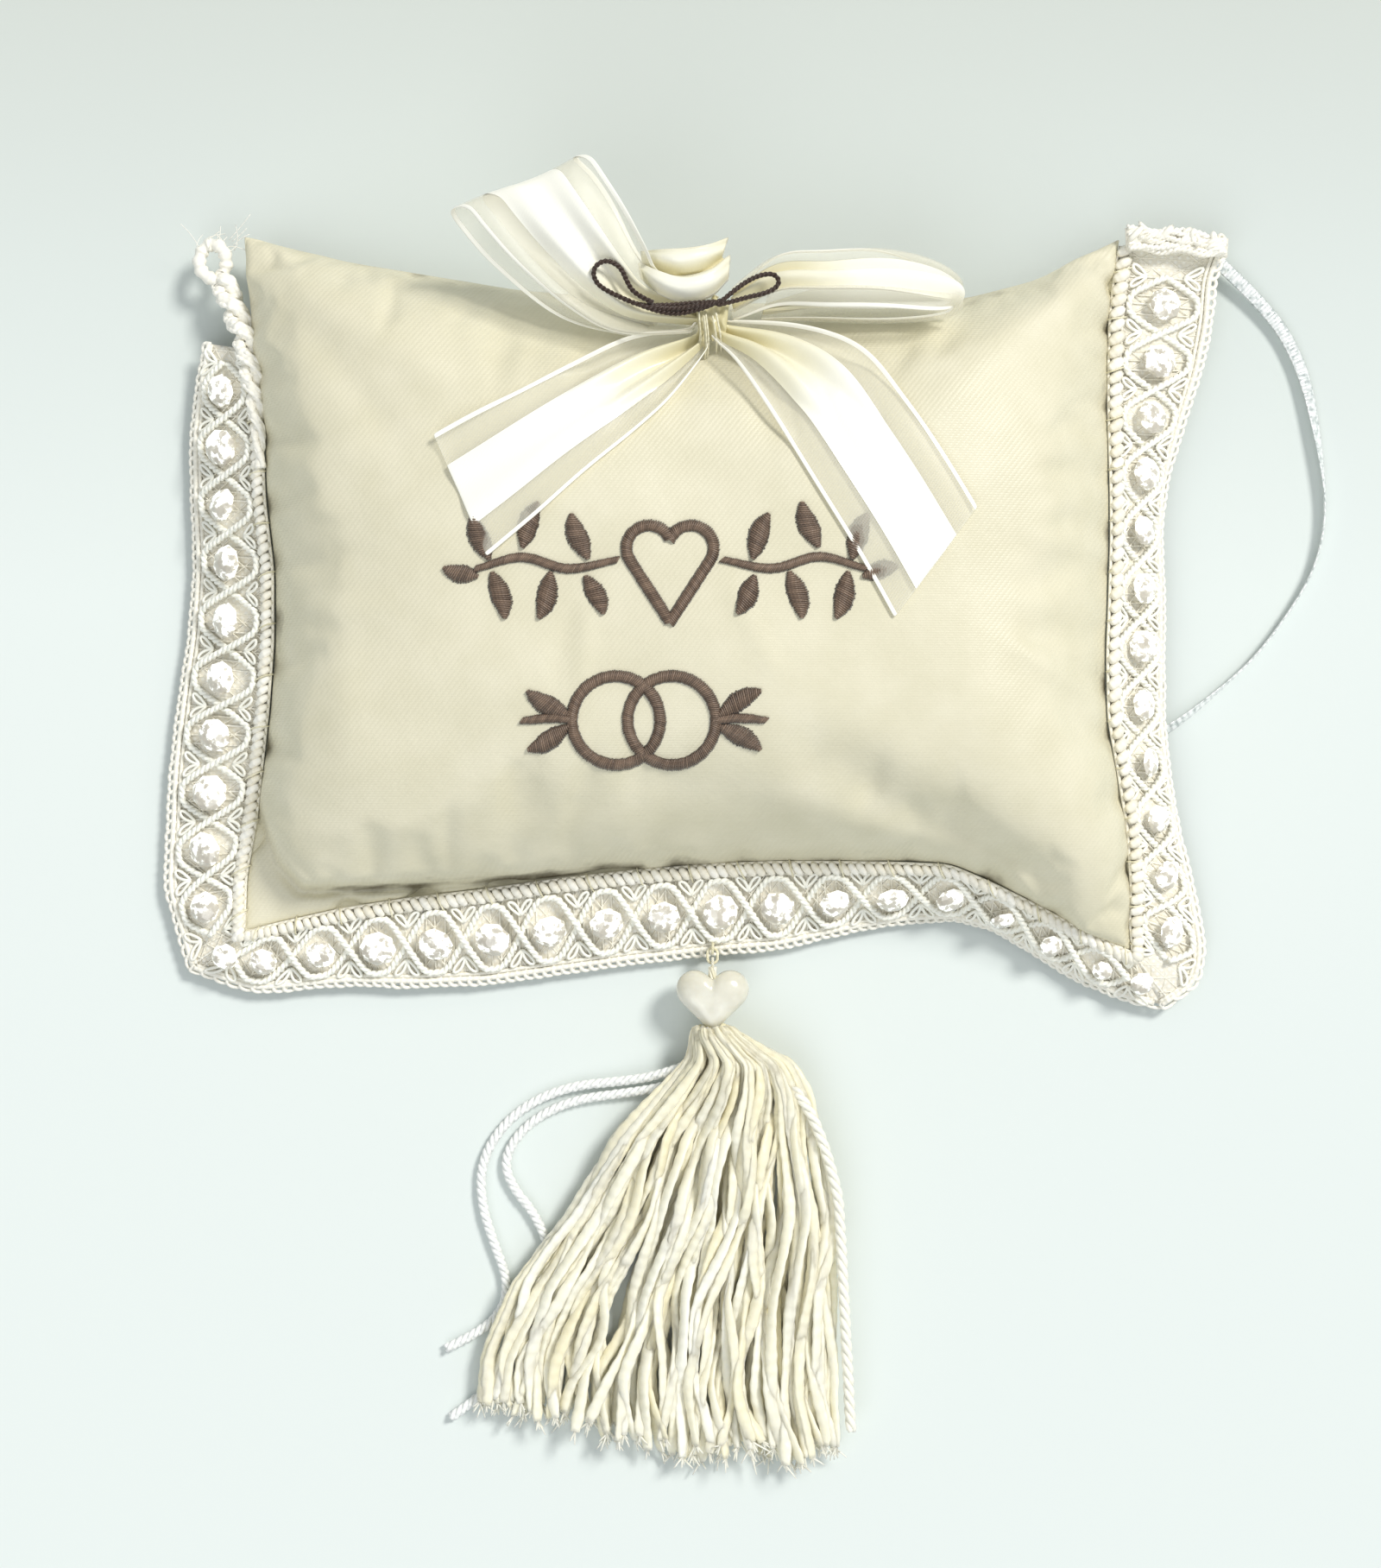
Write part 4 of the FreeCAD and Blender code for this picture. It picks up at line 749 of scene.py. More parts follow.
def gimp(soup, strip, t, pitch, half_span, thick, slant):
    """A row of small arched bars with a cord under each end of them."""
    across = np.linspace(-1, 1, 7)
    plump = np.array([0.62, 0.9, 1, 1.05, 1, 0.9, 0.62])
    for s in np.arange(pitch / 2, strip.length, pitch):
        grown = half_span * rng.uniform(0.88, 1.1)
        lift = GROUND_THICK + thick * 0.6 + 0.55 * MM * (1 - across ** 2)
        lean = slant * grown * across + rng.normal(0, 0.05) * MM
        path = strip.at(np.clip(s + lean, 0, strip.length), t + across * grown / strip.wide(s), lift)
        soup.tube(path, thick * rng.uniform(0.9, 1.08) * plump, tone=rng.uniform(0.25, 1.0))
    for side in (-1, 1):
        s = np.arange(0, strip.length, 1.2 * MM)
        path = strip.at(s, t + side * half_span / strip.wide(s), GROUND_THICK + 0.3 * MM)
        soup.tube(path, 0.32 * MM, sides=5, tone=0.45)


def picots(soup, strip):
    """A thread curled into a loop at every pitch along the outer edge."""
    count = int(strip.length / BAR_PITCH)
    angle = np.linspace(0, 2 * math.pi * count, count * 14 + 1)
    plump = np.interp(angle, np.arange(count + 1) * 2 * math.pi, rng.uniform(0.85, 1.15, count + 1))
    s = np.clip(strip.length * angle / angle[-1] - 0.62 * MM * np.sin(angle), 0, strip.length)
    out = 0.78 * MM * plump * (1 - np.cos(angle))
    t = 0.955 + (out - 0.5 * MM) / strip.wide(s)
    lift = GROUND_THICK + (0.35 + 0.25 * np.sin(angle)) * MM
    soup.tube(strip.at(s, t, lift), 0.36 * MM, tone=0.85)
    s = np.arange(0, strip.length, 1.0 * MM)
    soup.tube(strip.at(s, 0.94, GROUND_THICK + 0.45 * MM), 0.5 * MM, tone=0.7)
    soup.tube(strip.at(s, 0.89, GROUND_THICK + 0.25 * MM), 0.38 * MM, sides=5, tone=0.6)


def petals(soup, strip, s, side):
    """Two small loops of thread in the triangle beside a crossing."""
    t_root = 0.5 + side * 0.17
    angle = np.linspace(0, 2 * math.pi, 15)[:-1]
    reach = (1 - np.cos(angle)) / 2
    spread = np.sin(angle) * (0.35 + 0.65 * reach)
    away = (0.4 + 2.9 * reach) * MM
    for lean in (-1, 1):
        aside = lean * (1.71 * reach + 0.1) * MM + spread * 0.85 * MM
        points = strip.at(np.clip(s + aside, 0, strip.length), t_root + side * away / strip.wide(s),
                          GROUND_THICK + (0.5 + 0.35 * reach) * MM)
        soup.ring(points, 0.3 * MM, tone=rng.uniform(0.6, 1.0))


CRYSTAL_RISE = 1.35 * MM
# Each ring of a stone's corners: share of its radius, share of its rise, and turn in facets.
CRYSTAL_LEVELS = [(1.0, 0.0, 0.0), (0.97, 0.2, 0.0), (0.84, 0.6, 0.5), (0.6, 0.86, 0.0), (0.3, 1.0, 0.5)]
# The side of each stone where the painted glints gather.
CRYSTAL_PAINTED_LIGHT_SIDE = unit(np.array([0.4, 1.0, 0.2]))     # the side of each stone that is whiter


def crystal(soup, strip, s):
    """A cut stone: girdle, rings of facets and a table, with a point below."""
    radius = min(3.3 * MM, 0.205 * strip.wide(s)) * rng.uniform(0.94, 1.04)
    centre = strip.at(s, 0.5, GROUND_THICK + 1.9 * MM)
    normal = strip.look(strip.normal, s)
    across = unit(strip.look(strip.outer, s) - strip.look(strip.inner, s))
    tip = rng.normal(0, 0.13, 2) + np.array([0.03, 0.03])
    normal = unit(normal + across * tip[0] + np.cross(normal, across) * tip[1])
    across = unit(across - normal * (across @ normal))
    aside = np.cross(normal, across)
    facets = 8
    turn = rng.uniform(0, math.pi / 4)
    points = []
    for share, lift, shift in CRYSTAL_LEVELS:
        for facet in range(facets):
            angle = turn + 2 * math.pi * (facet + shift) / facets
            points.append(centre + radius * share * (math.cos(angle) * across + math.sin(angle) * aside)
                          + normal * lift * CRYSTAL_RISE)
    below = len(points)
    points.append(centre - normal * 1.25 * MM)
    faces = [tuple(4 * facets + facet for facet in range(facets))]
    for facet in range(facets):
        following = (facet + 1) % facets
        faces.append((facet, following, facets + following, facets + facet))
        faces.append((facets + facet, facets + following, 2 * facets + facet))
        faces.append((facets + following, 2 * facets + following, 2 * facets + facet))
        faces.append((2 * facets + facet, 3 * facets + following, 3 * facets + facet))
        faces.append((2 * facets + facet, 2 * facets + following, 3 * facets + following))
        faces.append((3 * facets + facet, 3 * facets + following, 4 * facets + facet))
        faces.append((3 * facets + following, 4 * facets + following, 4 * facets + facet))
        faces.append((following, facet, below))
    # The tone is higher on one side of each stone, where the painted glints are brighter.
    soup.add(points, faces, tone=0.5 + 0.5 * (np.array(points) - centre) @ CRYSTAL_PAINTED_LIGHT_SIDE / radius)


stitch_soup = Soup()


def braid(side, stations):
    """One run of the braid: ground, gimp, picots, lattice and crystals, each a piece of its own."""
    strip = Strip(stations)
    length = strip.length
    ground, edge, outer, lattice, stones = (Soup() for _ in range(5))

    rows = np.arange(0, length + 0.5 * MM, 1.0 * MM)
    rows = np.append(rows[rows < length], length)
    shares = np.linspace(0.0, 0.95, 10)
    wobble = 0.25 * MM * np.sin(rows / (2.3 * MM))[:, None] * np.sin(shares * math.pi)[None, :]
    ground.slab(strip.at(rows[:, None], shares[None, :], GROUND_THICK + wobble), GROUND_THICK * 0.8)
    for s in np.arange(BAR_PITCH / 2, length, BAR_PITCH):
        shift = rng.normal(0, 0.12) * MM
        share = np.linspace(0.09, 0.93, 8)
        path = strip.at(np.clip(s + shift * np.sin(share * 5), 0, length), share, GROUND_THICK + 0.12 * MM)
        ground.tube(path, 0.2 * MM, sides=4, slot=1, tone=rng.uniform(0.3, 0.9))
    for lean in (-1, 1):
        for start in np.arange(-NET_REACH, length, NET_PITCH):
            share = np.linspace(0.1, 0.9, 12)
            s = start + (share if lean > 0 else 1 - share) * NET_REACH
            inside = (s > 0) & (s < length)
            if inside.sum() > 2:
                path = strip.at(s[inside], share[inside], GROUND_THICK + 0.2 * MM)
                ground.tube(path, 0.13 * MM, sides=4, slot=1, tone=0.5)

    bar_pitch, bar_thick = (2.3 * MM, 1.0 * MM) if side == "right" else (BAR_PITCH, 0.76 * MM)
    gimp(edge, strip, 0.055, bar_pitch, 1.15 * MM, bar_thick, 0.75)
    picots(outer, strip)

    lozenges = int((length - 6 * MM) / LOZENGE)
    margin = (length - lozenges * LOZENGE) / 2
    turns = np.linspace(0, lozenges, lozenges * 22 + 1)
    for cord_side in (-1, 1):
        swing = 0.34 * cord_side * lozenge_wave(turns)
        lift = GROUND_THICK + CORD_RADIUS + 0.5 * MM * (1 + cord_side * np.cos(math.pi * turns))
        path = softened(strip.at(margin + turns * LOZENGE, 0.5 + swing, lift), 2)
        strands(lattice, path, 2, 0.40 * MM, 0.30 * MM, 2.4 * MM, tone=0.85)
    for crossing in range(lozenges + 1):
        for petal_side in (-1, 1):
            petals(lattice, strip, margin + crossing * LOZENGE, petal_side)
    for count in range(lozenges):
        crystal(stones, strip, margin + (count + 0.5) * LOZENGE)
    if side == "bottom":
        for end in (2.2 * MM, length - 1.6 * MM):
            crystal(stones, strip, end)

    stitches = int(length / STITCH_PITCH)
    across = np.linspace(-1, 1, 6)
    for index in range(stitches):
        s = (index + 0.5) * length / stitches
        lean = rng.uniform(0.3, 0.9) * MM
        path = strip.at(np.clip(s + lean * across, 0, length), 0.06 + across * 1.9 * MM / strip.wide(s),
                        GROUND_THICK + 0.35 * MM + 1.35 * MM * (1 - across ** 2) ** 0.5)
        stitch_soup.tube(path, 0.16 * MM, sides=5, tone=rng.uniform(0.3, 1))

    prefix = side + "_braid_"
    ground.piece(prefix + "mesh", [MESH_GROUND, GIMP], "pillow", [prefix + "ground"], "braid_mesh")
    edge.piece(prefix + "gimp_bars", [GIMP], "pillow", [prefix + "gimp"], "braid_gimp")
    outer.piece(prefix + "picot_loops", [GIMP], "pillow", [prefix + "picots"], "braid_gimp")
    lattice.piece(prefix + "lattice_cords", [BRAID_CORD], "pillow", [prefix + "lattice"], "braid_cord")
    stones.piece(prefix + "stones", [CRYSTAL], "pillow", [prefix + "crystals"], "crystal", smooth=False)


braid("left", LEFT_BRAID)
braid("bottom", BOTTOM_BRAID)
braid("right", RIGHT_BRAID)
stitch_soup.piece("trim_sewing", [SEWING], "pillow", ["trim_stitches"], "sewing_thread")

# The braid's free end at the top left: rolled up like a rope, with an open loop at its tip.

TWIST_AXIS = metres([(-76.8, 22.5, 15), (-77.8, 33, 13.2), (-79.8, 44.5, 10.8), (-82.2, 51, 8.2),
                     (-84.8, 57.2, 6.8)])
TWIST_TURNS = 3.2
LOOP_MIDDLE = np.array(metres((-86.6, 60.8, 6.4)))

axis_line = resampled(curved(TWIST_AXIS), 0.5 * MM)
axis_aside, axis_above = path_frames(axis_line)
share = travelled(axis_line) / travelled(axis_line)[-1]
twist = Soup()
# Each strand: radius in millimetres, how far out it winds, where it starts in its turn, and tone.
for thickness, orbit_share, phase, tone in ((1.2, 1.0, 0.0, 0.85), (0.5, 1.9, 0.6, 1.0),
                                            (0.5, 1.9, -0.5, 0.9)):
    runs = []
    for strand in (0, 1):
        turn = math.pi * strand + phase + 2 * math.pi * TWIST_TURNS * share
        orbit = (0.25 + 0.75 * np.minimum(1, share * 1.8)) * orbit_share * MM + 0.2 * MM
        runs.append(axis_line + orbit[:, None] * swung(turn, axis_aside, 0.7 * axis_above))
    angle = np.radians(np.linspace(-60, 240, 18))
    widen = 1 + 0.12 * phase
    tip = LOOP_MIDDLE + np.stack([2.5 * MM * widen * np.cos(angle), 3.2 * MM * widen * np.sin(angle),
                                  0.5 * MM * np.sin(2 * angle)], axis=1)
    path = softened(resampled(np.concatenate([runs[0], tip, runs[1][::-1]]), 0.4 * MM), 4)
    path[:, 2] = np.maximum(path[:, 2], 1.5 * MM)
    swell = 1 + 0.16 * np.sin(2 * math.pi * travelled(path) / (1.9 * MM))
    grown = np.interp(path[:, 1], [0.0225, 0.036, 0.05], [0.45, 0.7, 1.0])
    twist.tube(path, thickness * MM * swell * grown, sides=9, tone=tone)
for _ in range(16):      # loose fibres at the tip
    start = LOOP_MIDDLE + np.array([rng.uniform(-3, 4), rng.uniform(1, 4), rng.uniform(-1, 1.5)]) * MM
    heading = np.array([rng.uniform(-0.5, 1.0), rng.uniform(0.3, 1.0), rng.uniform(-0.3, 0.4)])
    bend = rng.normal(0, 0.7, 3)
    reach = rng.uniform(2, 5) * MM
    wisp = [start + (heading * part + bend * part ** 2 * 0.5) * reach for part in np.linspace(0, 1, 8)]
    twist.tube(np.array(wisp), 0.07 * MM, sides=4, tone=1.0)
twist.piece("braid_twisted_end", [GIMP], "pillow", ["left_braid_twisted_end"], "braid_gimp")

# At the top right the braid's end is folded over itself.

FOLD = metres([((78.5, 62.2, 9.6), (78.3, 66.2, 9.8)), ((88, 61.8, 8.9), (88, 66, 9)),
               ((97, 61.2, 7.8), (97.2, 64.6, 7.8))])
fold_strip = Strip(FOLD, ease=2)
folded = Soup()
fold_rows = np.linspace(0, fold_strip.length, 20)
folded.slab(fold_strip.at(fold_rows[:, None], np.linspace(0, 1, 5)[None, :],
                          0.2 * MM + 0.2 * MM * np.sin(fold_rows / MM)[:, None]), 0.5 * MM)
run = np.linspace(0.4 * MM, fold_strip.length - 0.4 * MM, 60)
for lane in np.linspace(0.08, 0.95, 6):
    sway = 0.09 * np.sin(run / (rng.uniform(1.0, 1.9) * MM) + rng.uniform(0, 6))
    rise = 0.7 + rng.uniform(0, 0.5)
    rise = (rise + 0.4 * np.sin(run / (rng.uniform(1.1, 2.2) * MM) + rng.uniform(0, 6))) * MM
    strands(folded, fold_strip.at(run, lane + sway, rise), 2, 0.34 * MM, 0.3 * MM, 2.1 * MM,
            tone=rng.uniform(0.6, 1))
for s in np.append(rng.uniform(0.8 * MM, 0.42 * fold_strip.length, 11),
                   rng.uniform(0.55 * fold_strip.length, fold_strip.length - 0.8 * MM, 9)):
    angle = np.linspace(0, 2 * math.pi, 15)[:-1] + rng.uniform(0, 6)
    wide, tall = rng.uniform(0.5, 1.5) * MM, rng.uniform(0.1, 0.34)
    lie = rng.uniform(0, 6)
    folded.ring(fold_strip.at(np.clip(s + wide * np.sin(angle + lie), 0, fold_strip.length),
                              rng.uniform(0.2, 0.75) + tall * (1 - np.cos(angle)),
                              rng.uniform(0.7, 1.4) * MM + 0.4 * MM * np.sin(angle * 2 + lie)),
                rng.uniform(0.3, 0.5) * MM, tone=rng.uniform(0.6, 1))
folded.piece("braid_folded_end", [GIMP], "pillow", ["right_braid_folded_end"], "braid_gimp")

# ------------------------------------------------------------------ cushion

CROWN = 37.6 * MM
ROUND_IN, ROUND_OUT = 2.7, 0.5        # how full the pillow is
LEFT_EAR = metres([(-79.3, 50, 9.2), (-80.3, 58, 8), (-80.8, 65.2, 7)])
RIGHT_EAR = metres((77.7, 64.8, 7))
TOP_LEVELS = metres([7, 8.5, 11.5, 13, 12.5, 11.5, 9.5, 7])     # heights of the top seam
COLUMNS, ROWS = 116, 92
CLOTH_THICK = 0.35 * MM


def edge_line(points, count):
    """A side of the cushion as evenly spread points."""
    line = softened(resampled(points, 0.5 * MM), 6)
    return at_distances(line, np.linspace(0, travelled(line)[-1], count))


left_inner, bottom_inner, right_inner = (
    [inner for inner, outer in stations] for stations in (LEFT_BRAID, BOTTOM_BRAID, RIGHT_BRAID))
top_points = [(x, y, z) for (x, y), z in zip(TOP_EDGE, TOP_LEVELS)]
top_points[0], top_points[-1] = LEFT_EAR[-1], RIGHT_EAR

side_left = edge_line(left_inner[::-1] + LEFT_EAR, ROWS)
side_right = edge_line(right_inner + [RIGHT_EAR], ROWS)
side_bottom = edge_line(bottom_inner, COLUMNS)
side_top = edge_line(top_points, COLUMNS)
side_bottom[0], side_bottom[-1] = side_left[0], side_right[0]
side_top[0], side_top[-1] = side_left[-1], side_right[-1]


def crowded(count):
    """Shares from 0 to 1, closer together near both ends."""
    return (1 - np.cos(np.linspace(0, math.pi, count))) / 2 * 0.45 + np.linspace(0, 1, count) * 0.55


def spread(line, places):
    """Points of a line at shares of its length."""
    return at_distances(line, places * travelled(line)[-1])


u, v = crowded(COLUMNS), crowded(ROWS)
side_left, side_right = spread(side_left, v), spread(side_right, v)
side_bottom, side_top = spread(side_bottom, u), spread(side_top, u)
uu, vv = u[None, :, None], v[:, None, None]
corners = ((1 - uu) * (1 - vv) * side_bottom[0] + uu * (1 - vv) * side_bottom[-1]
           + (1 - uu) * vv * side_top[0] + uu * vv * side_top[-1])
seam_grid = ((1 - uu) * side_left[:, None, :] + uu * side_right[:, None, :]
             + (1 - vv) * side_bottom[None, :, :] + vv * side_top[None, :, :] - corners)

cu, cv = np.abs(2 * uu[..., 0] - 1), np.abs(2 * vv[..., 0] - 1)
swell = np.clip((1 - cu ** ROUND_IN) * (1 - cv ** ROUND_IN), 0, 1) ** ROUND_OUT
rim = np.ones((ROWS, COLUMNS), bool)
rim[1:-1, 1:-1] = False
swell[rim] = 0

# At the lower left the filling stops short of the seam, and the two cloths lie nearly flat there,
# beyond a sharp crease. Places in millimetres.
CREASE = [(-79, -34), (-76.6, -41), (-74.2, -48), (-70, -53.0), (-55, -52.4), (-39, -51.5), (-22, -50.2),
          (-9, -48.6)]


def beyond(x, y, corners):
    """How far each place lies outside a bent line, in millimetres. Inside it is negative."""
    nearest = np.full(x.shape, 1e9)
    for (x0, y0), (x1, y1) in zip(corners, corners[1:]):
        span = (x1 - x0) ** 2 + (y1 - y0) ** 2
        part = np.clip(((x - x0) * (x1 - x0) + (y - y0) * (y1 - y0)) / span, 0, 1)
        nearest = np.minimum(nearest, np.hypot(x - x0 - part * (x1 - x0), y - y0 - part * (y1 - y0)))
    level = np.interp(x, [corner[0] for corner in corners], [corner[1] for corner in corners])
    return np.where((y < level) & (x < corners[-1][0]), nearest, -nearest)


past_crease = beyond(seam_grid[..., 0] / MM, seam_grid[..., 1] / MM, CREASE)
flat_share = np.clip(past_crease / 1.6 + 0.75, 0, 1)
flat_share = flat_share * flat_share * (3 - 2 * flat_share)
swell = swell * (1 - 0.74 * flat_share)
held_flat = (past_crease > -0.9) & ~rim

from_edge = np.minimum.reduce([np.linalg.norm(seam_grid - line[None, :, :] if axis else
                                              seam_grid - line[:, None, :], axis=2)
                               for line, axis in ((side_left, 0), (side_right, 0),
                                                  (side_bottom, 1), (side_top, 1))])

# Where stitches pull the cloth in at the seams, as shares of each side's length.
SEAM_PULLS = {
    "left": (0.14, 0.27, 0.385, 0.45, 0.53, 0.61, 0.70, 0.80),
    "right": (0.12, 0.22, 0.31, 0.375, 0.44, 0.53, 0.585, 0.66, 0.76, 0.87, 0.93),
    "bottom": (0.12, 0.2, 0.29, 0.40, 0.475, 0.55, 0.64, 0.73, 0.82, 0.9),
    "top": (0.2, 0.36, 0.62, 0.8),
}


def ridge(x, y, start, end, width, height):
    """A long low fold between two places, in millimetres. A negative height is a trough."""
    (x0, y0), (x1, y1) = start, end
    length = math.hypot(x1 - x0, y1 - y0)
    forward = ((x - x0) * (x1 - x0) + (y - y0) * (y1 - y0)) / length
    aside = ((x - x0) * (y1 - y0) - (y - y0) * (x1 - x0)) / length
    past = np.maximum(np.maximum(-forward, forward - length), 0)
    return height * np.exp(-(aside / width) ** 2 - (past / (2.2 * width)) ** 2)


# Soft folds: start, end, width and height, in millimetres.
FOLDS = [
    ((-17.5, -5), (-18.5, -15), 1.3, 0.35), ((-21.5, -7), (-22.5, -14), 1.2, -0.3),
    ((8, -2), (13, -12), 1.6, 0.35), ((-14, -37), (8, -40), 3.0, 0.35), ((-74, 56), (-48, 40), 4.0, 0.9),
    ((-70, 50), (-54, 30), 3.0, -0.5), ((70, 58), (48, 36), 4.5, 0.9), ((-60, -20), (-64, 12), 4.0, 0.5),
    ((-48, -44), (-12, -42), 3.0, 0.5), ((60, -12), (71, -18), 2.2, 0.6), ((60, 6), (71, 3), 2.4, -0.5),
    ((-72, 20), (-60, 24), 2.2, 0.5), ((-72, -4), (-58, -3), 2.4, 0.45),
]
# The fold at the lower right, which the filling doesn't smooth out.
DEEP_FOLDS = [((29, -32), (56, -47), 4.6, -2.0), ((22, -38), (40, -46), 3.6, 1.1)]
pinches = []      # where each stitch pulls: side, place, width and depth, in millimetres


def from_pinch(title, place, x, y):
    """How far each place is from a stitch, along its side and into the cushion."""
    aside, upward = x - place[0], y - place[1]
    return (upward, aside) if title in ("left", "right") else (aside, upward)


def pinched(x, y):
    """How deep the cloth is drawn in right beside the braid and along the crease, in millimetres."""
    drawn = 2.9 * np.exp(-(beyond(x, y, CREASE) / 0.8) ** 2) * np.clip((x + 77) / 5, 0.35, 1)
    for title, place, width, depth in pinches:
        along, into = from_pinch(title, place, x, y)
        drawn = drawn + 1.2 * depth * np.exp(-(along / (1.1 * width)) ** 2 - (into / 1.7) ** 2)
    drawn = drawn * np.minimum(1, from_edge / (0.8 * MM))
    return drawn - sum(ridge(x, y, *fold) for fold in DEEP_FOLDS) * np.minimum(1, from_edge / (5 * MM))


def fold_shade(x, y):
    """Painted shade on the cloth, from 0 to 0.5: in folds too sharp for the mesh to show, beside the stitch
    pulls and along the seam.
    """
    dark = 0.42 * np.exp(-(beyond(x, y, CREASE) / 0.9) ** 2) * np.clip((x + 72) / 8, 0, 1)
    for title, place, width, depth in pinches:
        along, into = from_pinch(title, place, x, y)
        dark = dark + 0.09 * depth * np.exp(-(along / (1.2 * width)) ** 2 - (into / 1.4) ** 2)
    return np.clip(dark + 0.16 * np.exp(-(from_edge / (1.1 * MM)) ** 2), 0, 0.5)


def puckers():
    """Gathers that run in from the seams, long soft folds, and the unevenness of the filling."""
    x, y = seam_grid[..., 0] / MM, seam_grid[..., 1] / MM
    pulled = np.zeros_like(x)
    for title, line in (("left", side_left), ("right", side_right), ("bottom", side_bottom),
                        ("top", side_top)):
        for share in SEAM_PULLS[title]:
            place = at_distances(line, [share * travelled(line)[-1]])[0] / MM
            depth, width = rng.uniform(2.2, 4.4), rng.uniform(1.5, 2.3)
            along, into = from_pinch(title, place, x, y)
            pulled += 0.35 * depth * np.exp(-(along / (width + 0.22 * np.abs(into))) ** 2 - (into / 3.5) ** 2)
            pinches.append((title, place, width, depth))
    lumps = (0.5 * np.sin(x / 17 + 1.1) * np.cos(y / 14 + 0.4) + 0.3 * np.sin(x / 9 - y / 11)
             + 0.2 * np.sin(x / 6.5 + y / 8 + 2.0))
    folds = sum(ridge(x, y, *fold) for fold in FOLDS)
    near = np.minimum(1, from_edge / (0.8 * MM)) * (1 - flat_share)
    inside = np.minimum(1, from_edge / (6 * MM))
    return (inside * (lumps + folds) - near * pulled) * MM


front = seam_grid.copy()
front[..., 2] += (CROWN - seam_grid[..., 2]) * swell
front[..., 2] += puckers() * np.sign(swell)
back = seam_grid.copy()
back[..., 2] *= np.clip(1 - 1.25 * swell, 0, 1)
back[..., 2] = np.maximum(back[..., 2], 0.15 * MM)
back[rim] = seam_grid[rim]
front[..., 2] = np.maximum(front[..., 2], seam_grid[..., 2] - 1.5 * MM)
front[rim] = seam_grid[rim]


def pillow_case():
    """The front and back sewn together at the seam, as one mesh. Faces of the front come first."""
    number = np.arange(ROWS * COLUMNS).reshape(ROWS, COLUMNS)
    below = number.copy()
    inner = ~rim
    below[inner] = ROWS * COLUMNS + np.arange(inner.sum())
    points = np.concatenate([front.reshape(-1, 3), back[inner]])
    quads = []
    for grid, flip in ((number, False), (below, True)):
        a, b, c, d = grid[:-1, :-1], grid[:-1, 1:], grid[1:, 1:], grid[1:, :-1]
        faces = np.stack([a, b, c, d], axis=-1).reshape(-1, 4)
        quads.append(faces[:, ::-1] if flip else faces)
    return points, np.concatenate(quads), number, below


FILLING_FRAMES = 20
MOST_MOVED = 1.5 * MM       # by the filling


def filled(points, faces, held):
    """The case blown up by its filling: a short cloth simulation, ten times life size."""
    scale = 10.0
    mesh = bpy.data.meshes.new("filling_up")
    mesh.from_pydata((points * scale).tolist(), [], faces.tolist())
    mesh.update()
    obj = bpy.data.objects.new("filling_up", mesh)
    scene.collection.objects.link(obj)
    group = obj.vertex_groups.new(name="held")
    group.add([int(i) for i in held], 1.0, "REPLACE")
    cloth = obj.modifiers.new("cloth", "CLOTH")
    settings = cloth.settings
    settings.quality = 6
    settings.mass = 0.4
    settings.tension_stiffness = settings.compression_stiffness = 12
    settings.shear_stiffness = 6
    settings.bending_stiffness = 0.6
    settings.vertex_group_mass = "held"
    settings.use_pressure = True
    settings.uniform_pressure_force = 3.0
    settings.shrink_min = -0.035
    settings.effector_weights.gravity = 0
    cloth.collision_settings.use_self_collision = False
    cloth.point_cache.frame_start, cloth.point_cache.frame_end = 1, FILLING_FRAMES
    for number in range(1, FILLING_FRAMES + 1):
        scene.frame_set(number)
    evaluated = obj.evaluated_get(bpy.context.evaluated_depsgraph_get())
    result = np.array([vertex.co for vertex in evaluated.to_mesh().vertices], float) / scale
    evaluated.to_mesh_clear()
    bpy.data.objects.remove(obj)
    scene.frame_set(1)
    moved = result - points
    far = np.linalg.norm(moved, axis=1, keepdims=True)
    return points + moved * np.minimum(1, MOST_MOVED / np.maximum(far, 1e-9))


case_points, case_faces, front_number, back_number = pillow_case()
case_points = filled(case_points, case_faces, front_number[rim | held_flat])
front_places = case_points[front_number]
front_places[..., 2] -= pinched(front_places[..., 0] / MM, front_places[..., 1] / MM) * MM
front_places[..., 2] = np.maximum(front_places[..., 2], seam_grid[..., 2] - 2.0 * MM)
case_points[front_number[~rim]] = front_places[~rim]
case_points[:, 2] = np.maximum(case_points[:, 2], 0.12 * MM)


def cover_piece(name, number, half, node, tone):
    """One cover of the cushion, a cloth with its thickness turned inwards."""
    used = np.unique(number)
    place = np.full(len(case_points), -1)
    place[used] = np.arange(len(used))
    faces_per_half = (ROWS - 1) * (COLUMNS - 1)
    faces = place[case_faces[half * faces_per_half:(half + 1) * faces_per_half]]
    cover = Soup()
    cover.add(case_points[used], faces.tolist(), tone=tone)
    obj = cover.piece(name, [SATIN], "pillow", [node], "ivory_satin")
    solid = obj.modifiers.new("cloth_thickness", "SOLIDIFY")
    solid.thickness = CLOTH_THICK
    solid.offset = -1
    smooth_out(obj)


# The front's tone is painted shade in its creases and along its seam; the back has none.
cover_piece("front_cover_satin", front_number, 0, "front_cover",
            fold_shade(front_places[..., 0] / MM, front_places[..., 1] / MM).ravel())
cover_piece("back_cover_satin", back_number, 1, "back_cover", 0.0)

front_tree = BVHTree.FromPolygons([tuple(p) for p in case_points.tolist()],
                                  case_faces[:(ROWS - 1) * (COLUMNS - 1)].tolist())


def surface(x, y):
    """Height of the cushion's front at a place."""
    hit = front_tree.ray_cast(Vector((x, y, 0.2)), Vector((0, 0, -1)))
    return 0.0 if hit[0] is None else hit[0].z


